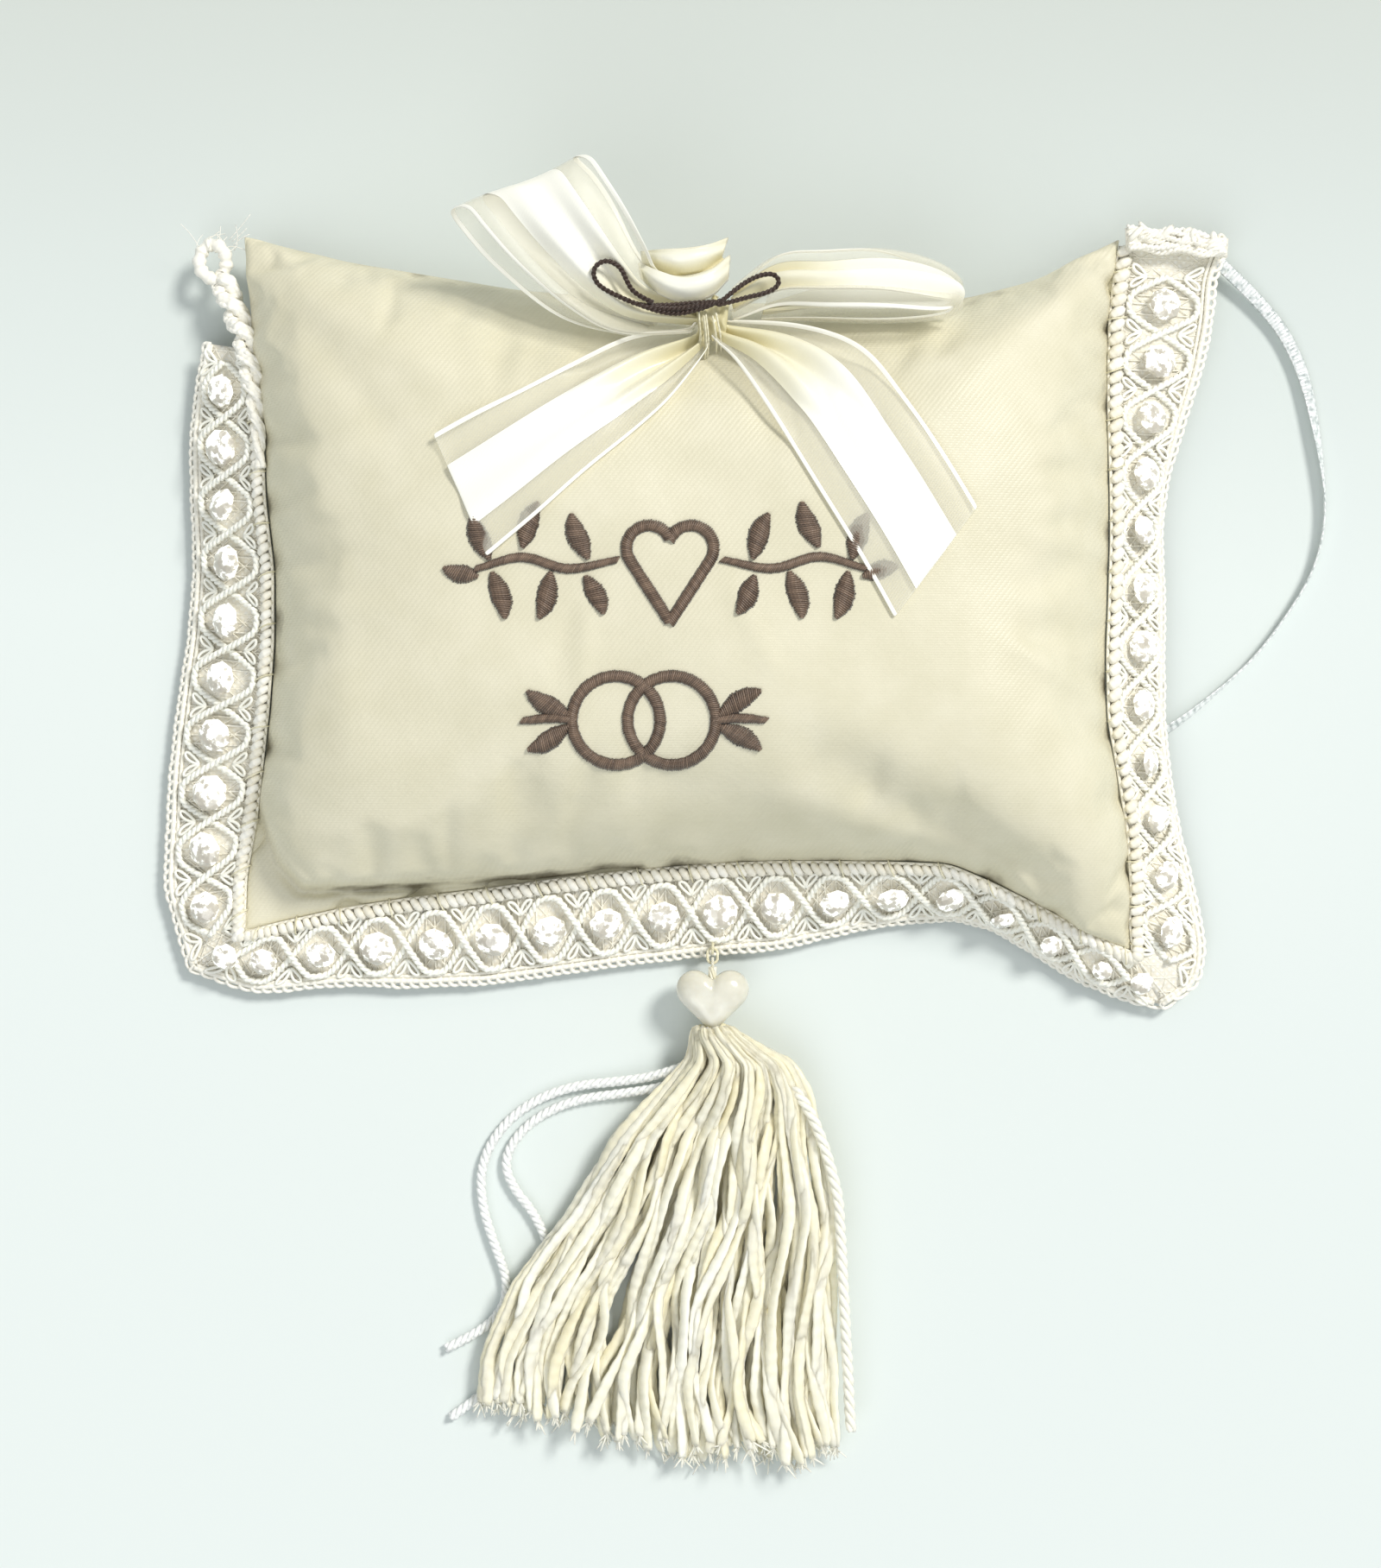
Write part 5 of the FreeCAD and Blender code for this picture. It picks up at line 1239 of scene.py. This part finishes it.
filling = Soup()
FILL_SHARE, FILL_HEIGHT = 0.92, 0.84     # of the case
fill_points = case_points * np.array([FILL_SHARE, FILL_SHARE, FILL_HEIGHT])
on_front = np.arange(len(case_points)) < ROWS * COLUMNS
fill_points[:, 2] += np.where(on_front, -0.6 * MM, 0.9 * MM)
fill_points[:, 2] += 0.4 * MM * np.sin(fill_points / (5.5 * MM)).prod(axis=1)
fill_points[:, 2] = np.maximum(fill_points[:, 2], 0.6 * MM)
filling.add(fill_points, case_faces.tolist())
stuffing = filling.piece("fibre_stuffing", [FIBRE], "pillow", ["stuffing"], "fibre_fill")

# ------------------------------------------------------------------ embroidery

STITCH_SPACING = 0.34 * MM
STITCH_RADIUS = 0.19 * MM


def satin_band(soup, line, half_widths, slant=0.25):
    """Threads laid side by side across a line on the cushion, from edge to edge of the band."""
    line = np.asarray(line, float)
    total = travelled(line)[-1]
    count = max(3, int(total / STITCH_SPACING))
    along = np.linspace(0, total, count)
    points = at_distances(line, along)
    ahead = unit(np.gradient(points, axis=0))
    aside = np.stack([-ahead[:, 1], ahead[:, 0]], axis=1)
    widths = np.interp(along / total, np.linspace(0, 1, len(half_widths)), half_widths)
    for point, forward, side, half in zip(points, ahead, aside, widths):
        if half < 0.12 * MM:
            continue
        half = half * rng.uniform(0.93, 1.08)
        path = []
        for part in (-1, -0.72, 0, 0.72, 1):
            x, y = point + side * half * part + forward * slant * half * part
            arch = (0.3 + 0.42 * (1 - part * part)) * MM
            path.append((x, y, surface(x, y) + (arch if abs(part) < 1 else -0.1 * MM)))
        # Each stitch is painted darker where it dips into the cloth and lighter on its arch, as painted shade
        # and highlight, with a random tone per stitch.
        soup.tube(np.array(path), STITCH_RADIUS, sides=5,
                  tone=rng.uniform(0.45, 0.85) * np.array([0.15, 0.75, 1.1, 0.75, 0.15]))


def leaf(soup, x, y, length, width, direction):
    """A leaf round its middle, given in millimetres and degrees."""
    x, y, length, width = metres((x, y, length, width))
    angle = math.radians(direction)
    heading = np.array([math.cos(angle), math.sin(angle)])
    aside = np.array([-heading[1], heading[0]])
    bow = 0.05 * length
    line = [np.array([x, y]) + heading * length * part + aside * bow * math.cos(part * math.pi)
            for part in np.linspace(-0.5, 0.5, 9)]
    swelling = [width / 2 * math.sin(math.pi * part) ** 0.8 for part in np.linspace(0.04, 0.96, 11)]
    satin_band(soup, line, swelling)


def heart_outline(x, y, lobe, point_y):
    """The right and the left half of a heart, each from the notch over its lobe to the point."""
    offset = lobe * 0.92
    notch = math.acos(min(1.0, offset / lobe))
    reach = math.hypot(offset, y - point_y)
    touch = math.atan2(point_y - y, -offset) + math.acos(lobe / reach)
    angles = np.linspace(math.pi - notch, touch, 18)
    half = [(offset + lobe * math.cos(a), lobe * math.sin(a)) for a in angles] + [(0.0, point_y - y)]
    right = np.array([(x + px, y + py) for px, py in half])
    left = np.array([(x - px, y + py) for px, py in half])
    return right, left


upper, lower = Soup(), Soup()
for item in UPPER_LEAVES:
    leaf(upper, *item)
for item in LOWER_LEAVES:
    leaf(lower, *item)
for soup, stems in ((upper, UPPER_STEMS), (lower, LOWER_STEMS)):
    for stem in stems:
        satin_band(soup, curved(stem, 8), [0.5 * MM, 0.75 * MM, 0.75 * MM, 0.5 * MM], slant=0.8)
OUTLINE_HALF_WIDTHS = [0.95 * MM] * 3
for half in heart_outline(*UPPER_HEART):
    satin_band(upper, half, OUTLINE_HALF_WIDTHS, slant=0.3)
for x, y, radius in LOWER_RINGS:
    angles = np.linspace(0, 2 * math.pi, 60)
    satin_band(lower, np.stack([x + radius * np.cos(angles), y + radius * np.sin(angles)], axis=1),
               OUTLINE_HALF_WIDTHS, slant=0.3)
upper.piece("embroidered_upper_row", [BROWN_THREAD], "pillow", ["embroidery_upper_row"], "brown_thread")
lower.piece("embroidered_lower_row", [BROWN_THREAD], "pillow", ["embroidery_lower_row"], "brown_thread")

# ------------------------------------------------------------------ bow

RIBBON_WIDTH = 23.5 * MM
RIBBON_THICK = 0.22 * MM
# Where the woven edge and the sheer border end, as shares of the ribbon's width. Its other side is alike.
EDGE_SHARE, SHEER_SHARE = 0.035, 0.255
RIBBON_MATERIALS = [RIBBON_EDGE, RIBBON_SHEER, RIBBON_SATIN]
PLEATS = 3
# The ribbon's painted highlight grows over this distance from the knot; nearer the knot it is painted in
# shade.
PAINTED_HIGHLIGHT_REACH = 30 * MM        # how far from the knot the satin grows lighter

knot_low, knot_high = (np.array(corner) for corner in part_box("bow_centre_wrap"))
knot_middle = (knot_low + knot_high) / 2 + np.array([0.0, 1.4 * MM, 0.0])
knot_half = (knot_high - knot_low) / 2 * np.array([0.95, 0.72, 0.95])


def ribbon_columns(fine):
    """Places across the ribbon, and the material of each strip between two of them."""
    places, slots, last = [0.0], [], 0.0
    for end, slot, count in ((EDGE_SHARE, 0, 1), (SHEER_SHARE, 1, fine), (1 - SHEER_SHARE, 2, 2 * fine),
                             (1 - EDGE_SHARE, 1, fine), (1.0, 0, 1)):
        places += list(np.linspace(last, end, count + 1)[1:])
        slots += [slot] * count
        last = end
    return np.array(places), slots


def ribbon_grid(stations, ripple, phase, on_cushion):
    """A ribbon between its two edges, folded into pleats wherever it is gathered."""
    first, second = (softened(curved([pair[side] for pair in stations], 9), 3) for side in (0, 1))
    places, slots = ribbon_columns(7)
    across = second - first
    chord = np.linalg.norm(across, axis=1)
    ahead = unit(np.gradient((first + second) / 2, axis=0))
    normal = unit(np.cross(unit(across), ahead))
    slack = np.clip(RIBBON_WIDTH / np.maximum(chord, 1e-6) - 1, 0, 3)
    height = np.minimum(chord / (math.pi * PLEATS) * np.sqrt(slack) * 1.15, 3.2 * MM)
    wave = np.sin(2 * math.pi * PLEATS * places[None, :] + phase)
    distance = travelled((first + second) / 2)
    along_wave = np.sin(distance / (6.5 * MM) + phase)[:, None] * np.sin(math.pi * places * 2 + 0.6)[None, :]
    lift = height[:, None] * wave + ripple * along_wave
    grid = (first[:, None, :] + across[:, None, :] * places[None, :, None]
            + normal[:, None, :] * lift[..., None])
    if on_cushion:
        for row in range(grid.shape[0]):
            for column in range(grid.shape[1]):
                x, y, z = grid[row, column]
                grid[row, column, 2] = max(z, surface(x, y) + (0.75 + 0.25 * wave[0, column]) * MM)
    return grid, slots, distance[-1]


# Each length of ribbon: its edges, how far it ripples, and where its ripples start.
for part, stations, ripple, phase in (("left_loop", LEFT_LOOP, 0.5 * MM, 0.5),
                                      ("right_loop", RIGHT_LOOP, 0.6 * MM, 2.0),
                                      ("left_tail", LEFT_TAIL, 0.35 * MM, 1.0),
                                      ("right_tail", RIGHT_TAIL, 0.35 * MM, 4.0)):
    loop = "loop" in part
    grid, slots, length = ribbon_grid(stations, ripple, phase, on_cushion=not loop)
    ribbon = Soup()
    # Painted highlight on the ribbon, lighter with distance from the knot.
    tone = np.clip(np.linalg.norm(grid - knot_middle, axis=2) / PAINTED_HIGHLIGHT_REACH, 0, 1).ravel()
    ribbon.slab(grid, RIBBON_THICK, slots, tone=np.tile(tone, 2))
    obj = ribbon.piece(f"bow_{part}_ribbon", RIBBON_MATERIALS, "pillow", ["bow_" + part], "bow_ribbon")
    smooth_out(obj)

wrap = Soup()
angles = np.linspace(0, 2 * math.pi, 41)[:-1]
across = np.linspace(-1, 1, 25)
wrap_points = []
for share in across:
    pleat = 1 + 0.12 * math.sin(share * 8 + 1) - 0.2 * share ** 4
    for angle in angles:
        crumple = 1 + 0.1 * math.sin(3 * angle + 5 * share) + 0.09 * math.sin(7 * angle - 9 * share + 1)
        wrap_points.append(knot_middle + np.array([
            knot_half[0] * share * (1 + 0.12 * math.cos(angle)),
            knot_half[1] * math.cos(angle) * pleat * crumple,
            knot_half[2] * math.sin(angle) * pleat * crumple]))
wrap_faces = []
for row in range(len(across) - 1):
    for k in range(len(angles)):
        a, b = row * len(angles) + k, row * len(angles) + (k + 1) % len(angles)
        wrap_faces.append((a, b, b + len(angles), a + len(angles)))
wrap_faces.append(tuple(range(len(angles)))[::-1])
wrap_faces.append(tuple(range((len(across) - 1) * len(angles), len(across) * len(angles))))
# The knot is painted in shade with a low tone.
wrap.add(wrap_points, wrap_faces, tone=0.05)
wrap.piece("bow_centre_ribbon", [RIBBON_SATIN], "pillow", ["bow_centre_wrap"], "bow_ribbon")

# The ribbon's own folds that stand above the cord like a scoop: the upper and lower rim of each.
SCOOPS = [
    ([(-9, 56, 34.2), (-6, 54.1, 37.8), (-1, 53, 38.6), (3.7, 54.1, 38),
      (6.8, 57.2, 35)],
     [(-8.5, 53.3, 33.5), (-5.5, 50.6, 35.2), (-0.8, 49.3, 35.8), (3.7, 50.3, 35.4),
      (6.4, 53.2, 34)]),
    ([(-8.6, 58.4, 32.5), (-4.8, 58.2, 36.2), (-0.8, 58.3, 37), (3, 59, 36.4),
      (6.4, 60.6, 33.8)],
     [(-8.2, 55.6, 32.2), (-4.2, 54.8, 35), (-1, 54.3, 35.4), (2.5, 55, 35),
      (5.4, 57.4, 33.2)]),
]
rims = [curved(metres(rim), 9) for scoop_rims in SCOOPS for rim in scoop_rims[::-1]]
valley = (rims[1] + rims[2]) / 2 - np.array([0, 0, 3.2 * MM])
run = np.linspace(0, 1, len(valley))
fold_sections = []
for first, second, steps, rise in ((rims[0], rims[1], 10, 0.9), (rims[1], valley, 4, 0.2),
                                   (valley, rims[2], 4, -0.2), (rims[2], rims[3], 10, 0.9)):
    for place in np.arange(steps) / steps:
        section = first + (second - first) * place
        section[:, 2] += rise * MM * math.sin(math.pi * place) * np.sin(math.pi * (0.08 + 0.84 * run))
        section[:, 2] -= 0.4 * MM * np.sin(7 * place + 2.2 * run)
        section[:, 1] += 0.2 * MM * np.sin(run * 9 + place * 3)
        fold_sections.append(section)
fold_sections.append(rims[3])
grid = np.stack(fold_sections, axis=1)
# Painted light and shade on the scoop: lighter on its rims, darker in the valley and towards its ends.
painted_light_and_shade = np.interp(np.arange(grid.shape[1]), [0, 4, 10, 14, 18, 23, 28],
                      [0.45, 0.8, 0.75, 0.05, 0.3, 0.8, 0.6])
painted_light_and_shade = painted_light_and_shade[None, :] * (0.7 + 0.3 * np.sin(math.pi * run))[:, None]
scoop = Soup()
scoop.slab(grid, RIBBON_THICK, [0] + [1] * (grid.shape[1] - 2), tone=np.tile(painted_light_and_shade.ravel(), 2))
scoop_piece = scoop.piece("bow_centre_fold", [RIBBON_EDGE, RIBBON_SATIN], "pillow", [], "bow_ribbon")

tacks = Soup()
for index in range(7):
    lean = rng.uniform(-1.6, 1.8) * MM
    start = np.array([3.0 * MM + lean, 46.5 * MM + rng.uniform(-1, 1) * MM, 36.0 * MM])
    end = np.array([3.4 * MM + lean * 1.4, 41.4 * MM + rng.uniform(-1.5, 1) * MM, 0.0])
    end[2] = surface(end[0], end[1]) + 0.3 * MM
    middle = (start + end) / 2 + np.array([0.3 * MM, -0.6 * MM, 1.2 * MM])
    tacks.tube(curved([start, middle, end], 6), 0.17 * MM, sides=5, tone=rng.uniform(0, 1))
tacks.piece("bow_tacks", [SEWING], "pillow", ["bow_tack_thread"], "sewing_thread")


COIL_POINTS = 18        # of each turn


def thread_coil(soup, middle, axis, radius, length, turns, thick, flatten=1.0):
    """Thread wound round an axis."""
    axis = unit(np.asarray(axis, float))
    aside = unit(np.cross(axis, UP))
    above = np.cross(aside, axis)
    angle = np.linspace(0, 2 * math.pi * turns, turns * COIL_POINTS + 1)
    reach = np.broadcast_to(radius, angle.shape)
    path = (np.asarray(middle, float) + axis * (np.linspace(-0.5, 0.5, len(angle)) * length)[:, None]
            + reach[:, None] * swung(angle, aside, flatten * above))
    soup.tube(path, thick)


for end_name, near, beside in (("right", HANGER[0], HANGER[1]), ("left", HANGER[-1], HANGER[-2])):
    outward = unit(np.array(near) - np.array(beside))
    coil = Soup()
    middle = np.array(near) + outward * 1.0 * MM
    thread_coil(coil, middle, outward, 1.35 * MM, 1.7 * MM, 6, 0.2 * MM, flatten=0.6)
    thread_coil(coil, middle, np.cross(outward, UP), 1.0 * MM, 1.2 * MM, 4, 0.2 * MM, flatten=0.7)
    coil.tube(np.array([middle - outward * 1.2 * MM, middle, middle + outward * 1.4 * MM]), 0.75 * MM,
              0.6 * MM, sides=8, tone=0.4)
    coil.piece(f"hanger_{end_name}_stitching", [SEWING], "pillow", [f"hanger_tack_{end_name}"],
               "sewing_thread")

# ------------------------------------------------------------------ tassel

TASSEL_X = 4.0 * MM
# The eyelet, the thread loop and the cord's own ring are links of one radius, of threads wound together.
EYELET_Y, LINK_Z, LINK_RADIUS, LINK_REACH = -63.7 * MM, 5.9 * MM, 0.9 * MM, 0.9 * MM
LINK_NEAR_Y = EYELET_Y - LINK_RADIUS
LINK_FAR_Y = LINK_NEAR_Y - LINK_REACH
STEM_RING_Y = LINK_FAR_Y - LINK_RADIUS
BEAD_Y, BEAD_Z, NECK_Y = -71.0 * MM, 6.9 * MM, -78.9 * MM


def bundle_ring(soup, path):
    """Three threads wound round one another along a closed path."""
    for strand in range(3):
        angle = 2 * math.pi * (np.arange(len(path)) / len(path) * 5 + strand / 3)
        soup.ring(path + 0.14 * MM * swung(angle, *closed_frames(path)), 0.15 * MM,
                  tone=rng.uniform(0.3, 1.0))


def upright_link(y):
    """A round link that stands across the tassel's axis, at its middle's y."""
    return (np.array([TASSEL_X, y, LINK_Z])
            + LINK_RADIUS * swung(full_turn(36), np.array([0, 1, 0]), np.array([0, 0, 1])))


eyelet = Soup()
bundle_ring(eyelet, upright_link(EYELET_Y))
stalk_y = EYELET_Y + 0.4 * MM
eyelet.tube(np.array([[TASSEL_X, stalk_y, LINK_Z - LINK_RADIUS], [TASSEL_X, stalk_y, 4.5 * MM],
                      [TASSEL_X + 0.2 * MM, stalk_y + 0.6 * MM, 3.3 * MM]]), 0.3 * MM)
eyelet.piece("tassel_eyelet_thread", [SEWING], "pillow", ["tassel_eyelet"], "sewing_thread")

half = np.linspace(-math.pi / 2, math.pi / 2, 14)
near_round = np.stack([TASSEL_X + LINK_RADIUS * np.sin(half), LINK_NEAR_Y + LINK_RADIUS * np.cos(half),
                       np.full(14, LINK_Z)], axis=1)
far_round = np.stack([TASSEL_X - LINK_RADIUS * np.sin(half), LINK_FAR_Y - LINK_RADIUS * np.cos(half),
                      np.full(14, LINK_Z)], axis=1)
link = Soup()
bundle_ring(link, np.concatenate([near_round, far_round]))
link.piece("tassel_loop_thread", [SEWING], "tassel_loop", ["tassel_thread_loop"], "sewing_thread")

stem = Soup()
bundle_ring(stem, upright_link(STEM_RING_Y))
stem_start = STEM_RING_Y - LINK_RADIUS + 0.3 * MM
y = np.linspace(stem_start, NECK_Y - 1 * MM, 24)
for strand in range(7):      # six round a seventh
    orbit = 0.0 if strand == 6 else 0.53 * MM
    turn = 2 * math.pi * strand / 6 + (y - stem_start) / (1.6 * MM)
    path = np.stack([TASSEL_X + orbit * np.cos(turn), y, BEAD_Z + orbit * np.sin(turn)], axis=1)
    stem.tube(path, 0.26 * MM, tone=rng.uniform(0.3, 1))
stem.piece("tassel_cord", [YARN], "tassel", ["tassel_stem"], "tassel_yarn")

BEAD_LOBE, BEAD_POINT, BEAD_HALF = 3.5 * MM, 8.0 * MM, 3.5 * MM     # lobe's radius, point, half thickness


def heart_edge(count):
    """Points round the bead, from its notch."""
    right, left = heart_outline(0.0, 0.0, BEAD_LOBE, -BEAD_POINT)
    outline = np.concatenate([right, left[-2:0:-1]])
    outline = np.concatenate([outline, outline[:1]])
    line = at_distances(outline, np.linspace(0, travelled(outline)[-1], count + 1)[:-1])
    return averaged(np.concatenate([line[-3:], line, line[:3]]), 3)


bead_soup = Soup()
rim_line = heart_edge(72)
bead_rings = []
middle = np.array([0.0, -1.8 * MM])
for level in np.linspace(-1, 1, 25):
    tilt = level * math.pi / 2
    inward = math.cos(tilt) ** 0.62
    height = math.copysign(abs(math.sin(tilt)) ** 0.9, math.sin(tilt))
    flat = middle + (rim_line - middle) * (0.12 + 0.88 * inward)
    dent = 0.32 * MM * np.exp(-(flat[:, 0] / (1.1 * MM)) ** 2) * abs(height)
    z = BEAD_Z + height * BEAD_HALF - math.copysign(1, height) * dent
    bead_rings.append(np.stack([TASSEL_X + flat[:, 0], BEAD_Y + flat[:, 1], z], axis=1))
bead_soup.add(np.concatenate(bead_rings), tube_faces(len(bead_rings), len(rim_line)))
bead_soup.piece("pearl_heart", [PEARL], "bead", ["heart_bead"], "pearl")

NECK_TURNS = 5
neck = Soup()
thread_coil(neck, (TASSEL_X, NECK_Y - 0.8 * MM, BEAD_Z), (0, -1, 0),
            np.interp(np.linspace(0, 1, NECK_TURNS * COIL_POINTS + 1), [0, 0.5, 1],
                      [2.75 * MM, 2.45 * MM, 2.75 * MM]), 1.5 * MM, NECK_TURNS, 0.24 * MM)
neck.tube(np.array([[TASSEL_X, NECK_Y - part * MM, BEAD_Z] for part in (0.0, 0.4, 1.2, 1.6)]), 2.5 * MM,
          sides=20, tone=0.4)
neck.piece("tassel_neck_thread", [YARN], "tassel", ["tassel_neck_wrap"], "tassel_yarn")

# Where the strands end, left to right: x, y.
HEM = metres([(-39, -145.5), (-31.5, -147.5), (-22.5, -149), (-17.5, -152), (-9, -154), (0, -156.5),
              (8, -155.2), (16, -156.8), (23.5, -154.5), (30, -153.5)])
HEM_X, HEM_Y = zip(*HEM)
SECTIONS = np.array([[*metres(section[:-1]), section[-1]] for section in SKIRT_SECTIONS])
SKIRT_TOP, SKIRT_LENGTH = 80.6 * MM, 70 * MM
STRANDS_PER_LAYER = (36, 41, 36)
LAYER_HEIGHTS = (0.62, 0.05, -0.5)      # shares of the skirt's half height


def skirt_point(y, a, b):
    """A place in the skirt at a y: a across from -1 to 1, b up from -1 to 1."""
    x, half_width, z, half_height, skew = (np.interp(-y, -SECTIONS[:, 0], column)
                                           for column in SECTIONS.T[1:6])
    across = a * half_width
    edge = np.sqrt(np.clip(1 - a * a, 0.04, 1))
    height = z + b * half_height * edge
    skew = np.radians(skew)
    return np.stack([x + across * np.cos(skew), y + across * np.sin(skew), height], axis=-1)


bead_outline = heart_edge(160)


def bead_reach(y):
    """How far the bead stands out from the tassel's cord at a y."""
    level = np.abs(bead_outline[:, 1] + BEAD_Y - y) < 0.5 * MM
    return np.abs(bead_outline[level, 0]).max(initial=0.0)


skirt = Soup()
for strand_count, level in zip(STRANDS_PER_LAYER, LAYER_HEIGHTS):
    for strand in range(strand_count):
        a0 = -1 + 2 * (strand + 0.5) / strand_count + rng.normal(0, 0.35) / strand_count
        a0 = float(np.clip(a0, -0.985, 0.985))
        y = -np.linspace(SKIRT_TOP, 150 * MM, 56)
        down = (-y - SKIRT_TOP) / SKIRT_LENGTH
        wander = (rng.normal(0, 0.066) * np.sin(down * rng.uniform(3, 6) + rng.uniform(0, 6))
                  + rng.normal(0, 0.036) * np.sin(down * rng.uniform(8, 15) + rng.uniform(0, 6)))
        lift = level + rng.normal(0, 0.2) + 0.42 * np.sin(down * rng.uniform(7, 17) + rng.uniform(0, 6))
        path = skirt_point(y, np.clip(a0 + wander * np.minimum(1, down * 3), -1, 1), np.clip(lift, -0.9, 1.0))
        hem_y = np.interp(path[-1, 0], HEM_X, HEM_Y) + rng.uniform(-1.6, 2.6) * MM
        short = path[-1, 1] - hem_y
        heading = unit(path[-1] - path[-4])
        curl = rng.normal(0, 0.25, 2)
        if short > 0:      # on down to the hem
            tail_steps = max(2, int(short / (1.2 * MM)))
            tail = [path[-1]]
            for step in range(tail_steps):
                heading = unit(heading + np.array([curl[0], 0.0, curl[1] * 0.4]) * 0.16)
                tail.append(tail[-1] + heading * short / tail_steps)
            path = np.concatenate([path, tail[1:]])
        if level > 0 or rng.uniform() < 0.5:      # out of the neck's thread and round the bead's point
            around = math.pi * (0.5 - 0.46 * a0) * (1 if level > 0 else -1)
            out = np.array([math.cos(around), 0.0, math.sin(around)])
            top_y = rng.uniform(-77.9, -77.3) * MM
            clear = bead_reach(top_y)
            head = [np.array([TASSEL_X, -79.6 * MM, BEAD_Z]) + out * 1.9 * MM,
                    np.array([TASSEL_X, top_y, BEAD_Z]) + out * (clear + 1.1 * MM),
                    np.array([TASSEL_X + 0.5 * MM, -79.1 * MM, BEAD_Z]) + out * (clear + 2.1 * MM)]
            path = np.concatenate([head, path[2:]])
        path[:, 2] = np.maximum(path[:, 2], 0.75 * MM)
        path = softened(resampled(path, 0.8 * MM), 2)
        distance = travelled(path)
        grow = np.interp(distance, [0, 7 * MM, 22 * MM], [0.5, 0.66, 1.0])
        close = np.interp(distance[-1] - distance, [0, 1.5 * MM], [0.72, 1.0])
        girth = rng.uniform(0.92, 1.22) * MM * grow * close
        pulse = 1 + 0.07 * np.sin(2 * math.pi * distance / (3.1 * MM) + rng.uniform(0, 6))
        for _ in range(4):      # frayed ends
            splay = unit(path[-1] - path[-3]) + rng.normal(0, 0.45, 3) * np.array([1.0, 0.6, 0.5])
            hair = path[-1] + np.outer(np.linspace(-0.3, 1, 5), splay) * rng.uniform(0.9, 2.4) * MM
            hair[:, 2] = np.maximum(hair[:, 2], 0.2 * MM)
            skirt.tube(hair, np.linspace(0.26, 0.12, 5) * MM, sides=4, tone=1.0)
        # Strand tones: random, darker on the lower layers as painted shade, and darker towards the neck.
        skirt.tube(path, girth * pulse, girth * 0.5 * pulse,
                   roll=0.9 * np.sin(distance / (rng.uniform(6, 11) * MM) + rng.uniform(0, 6)),
                   sides=8, level=True,
                   tone=(rng.uniform(0.35, 1.0) * (0.72 + 0.28 * min(1, level + 0.5))
                         * np.interp(distance, [0, 12 * MM, 34 * MM], [0.3, 0.6, 1.0])))

# The thicker white yarn at the tassel's right side.
SIDE_YARN = metres([(8.5, -81.2, 8.2), (16.5, -86.8, 8.5), (22, -94, 8.2), (26.2, -106.5, 7.6),
                    (27.2, -116, 7), (28.2, -134, 6), (29.2, -151.5, 4.5)])
strands(skirt, softened(resampled(curved(SIDE_YARN), 0.6 * MM), 4), 3, 0.56 * MM, 0.5 * MM, 6.5 * MM,
        sides=7, tone=1.0)
skirt.piece("tassel_strands", [YARN], "tassel", ["tassel_skirt"], "tassel_yarn")

# ------------------------------------------------------------------ floor and light

# The floor is painted darker towards +y and far away: painted shade standing in for the fall of light.
FLOOR_REACH, FLOOR_LEVEL = 60.0, -0.0001
FLOOR_NEAR_TONE = 0.15      # the lightest tone, where y is 0 or less
floor_mesh = bpy.data.meshes.new("floor")
floor_mesh.from_pydata([(x * FLOOR_REACH, y * FLOOR_REACH, FLOOR_LEVEL)
                        for x, y in ((-1, -1), (1, -1), (1, 1), (-1, 1))], [], [(0, 1, 2, 3)])
floor = bpy.data.objects.new("floor", floor_mesh)
scene.collection.objects.link(floor)
paper = Material("floor", Roughness=0.75)
split = paper.node("ShaderNodeSeparateXYZ")
paper.join(paper.place(), split.inputs["Vector"])
by_y = paper.maths("ADD", paper.maths("MULTIPLY", split.outputs["Y"], 2.0), FLOOR_NEAR_TONE)
painted_falloff = paper.maths("MINIMUM", paper.maths("MAXIMUM", by_y, FLOOR_NEAR_TONE), 0.41)
span = paper.node("ShaderNodeVectorMath")
span.operation = "LENGTH"
paper.join(paper.place(), span.inputs[0])
away = paper.maths("MULTIPLY", paper.maths("SUBTRACT", span.outputs["Value"], 0.7), 0.3)
painted_falloff = paper.maths("ADD", painted_falloff, paper.maths("MAXIMUM", away, 0.0))
paper.paint(paper.ramp(painted_falloff, [(FLOOR_NEAR_TONE, colour(219, 226, 223)), (0.26, colour(210, 217, 213)),
                              (0.41, colour(196, 201, 194)), (0.98, colour(163, 167, 169))]))
paper.emboss([(paper.noise(0.004, 4), 0.0001, 0.2)])
floor_mesh.materials.append(paper.data)


def far_light(name, direction, strength, softness, tint):
    """A large soft lamp so far away that it lights everything alike."""
    light = bpy.data.lights.new(name, "SUN")
    light.energy = strength
    light.angle = math.radians(softness)
    light.color = tint
    obj = bpy.data.objects.new(name, light)
    obj.location = direction
    obj.rotation_euler = Vector(direction).to_track_quat("Z", "Y").to_euler()
    scene.collection.objects.link(obj)


far_light("key", (0.42, 0.38, 0.62), 2.4, 15, (1.0, 0.985, 0.95))
far_light("fill", (-0.2, -0.5, 0.78), 0.85, 50, (0.95, 0.98, 1.0))

world = bpy.data.worlds.new("studio")
world.use_nodes = True
world.node_tree.nodes["Background"].inputs["Color"].default_value = (0.93, 0.97, 1.0, 1.0)
world.node_tree.nodes["Background"].inputs["Strength"].default_value = 0.46
scene.world = world
scene.view_settings.view_transform = "Standard"
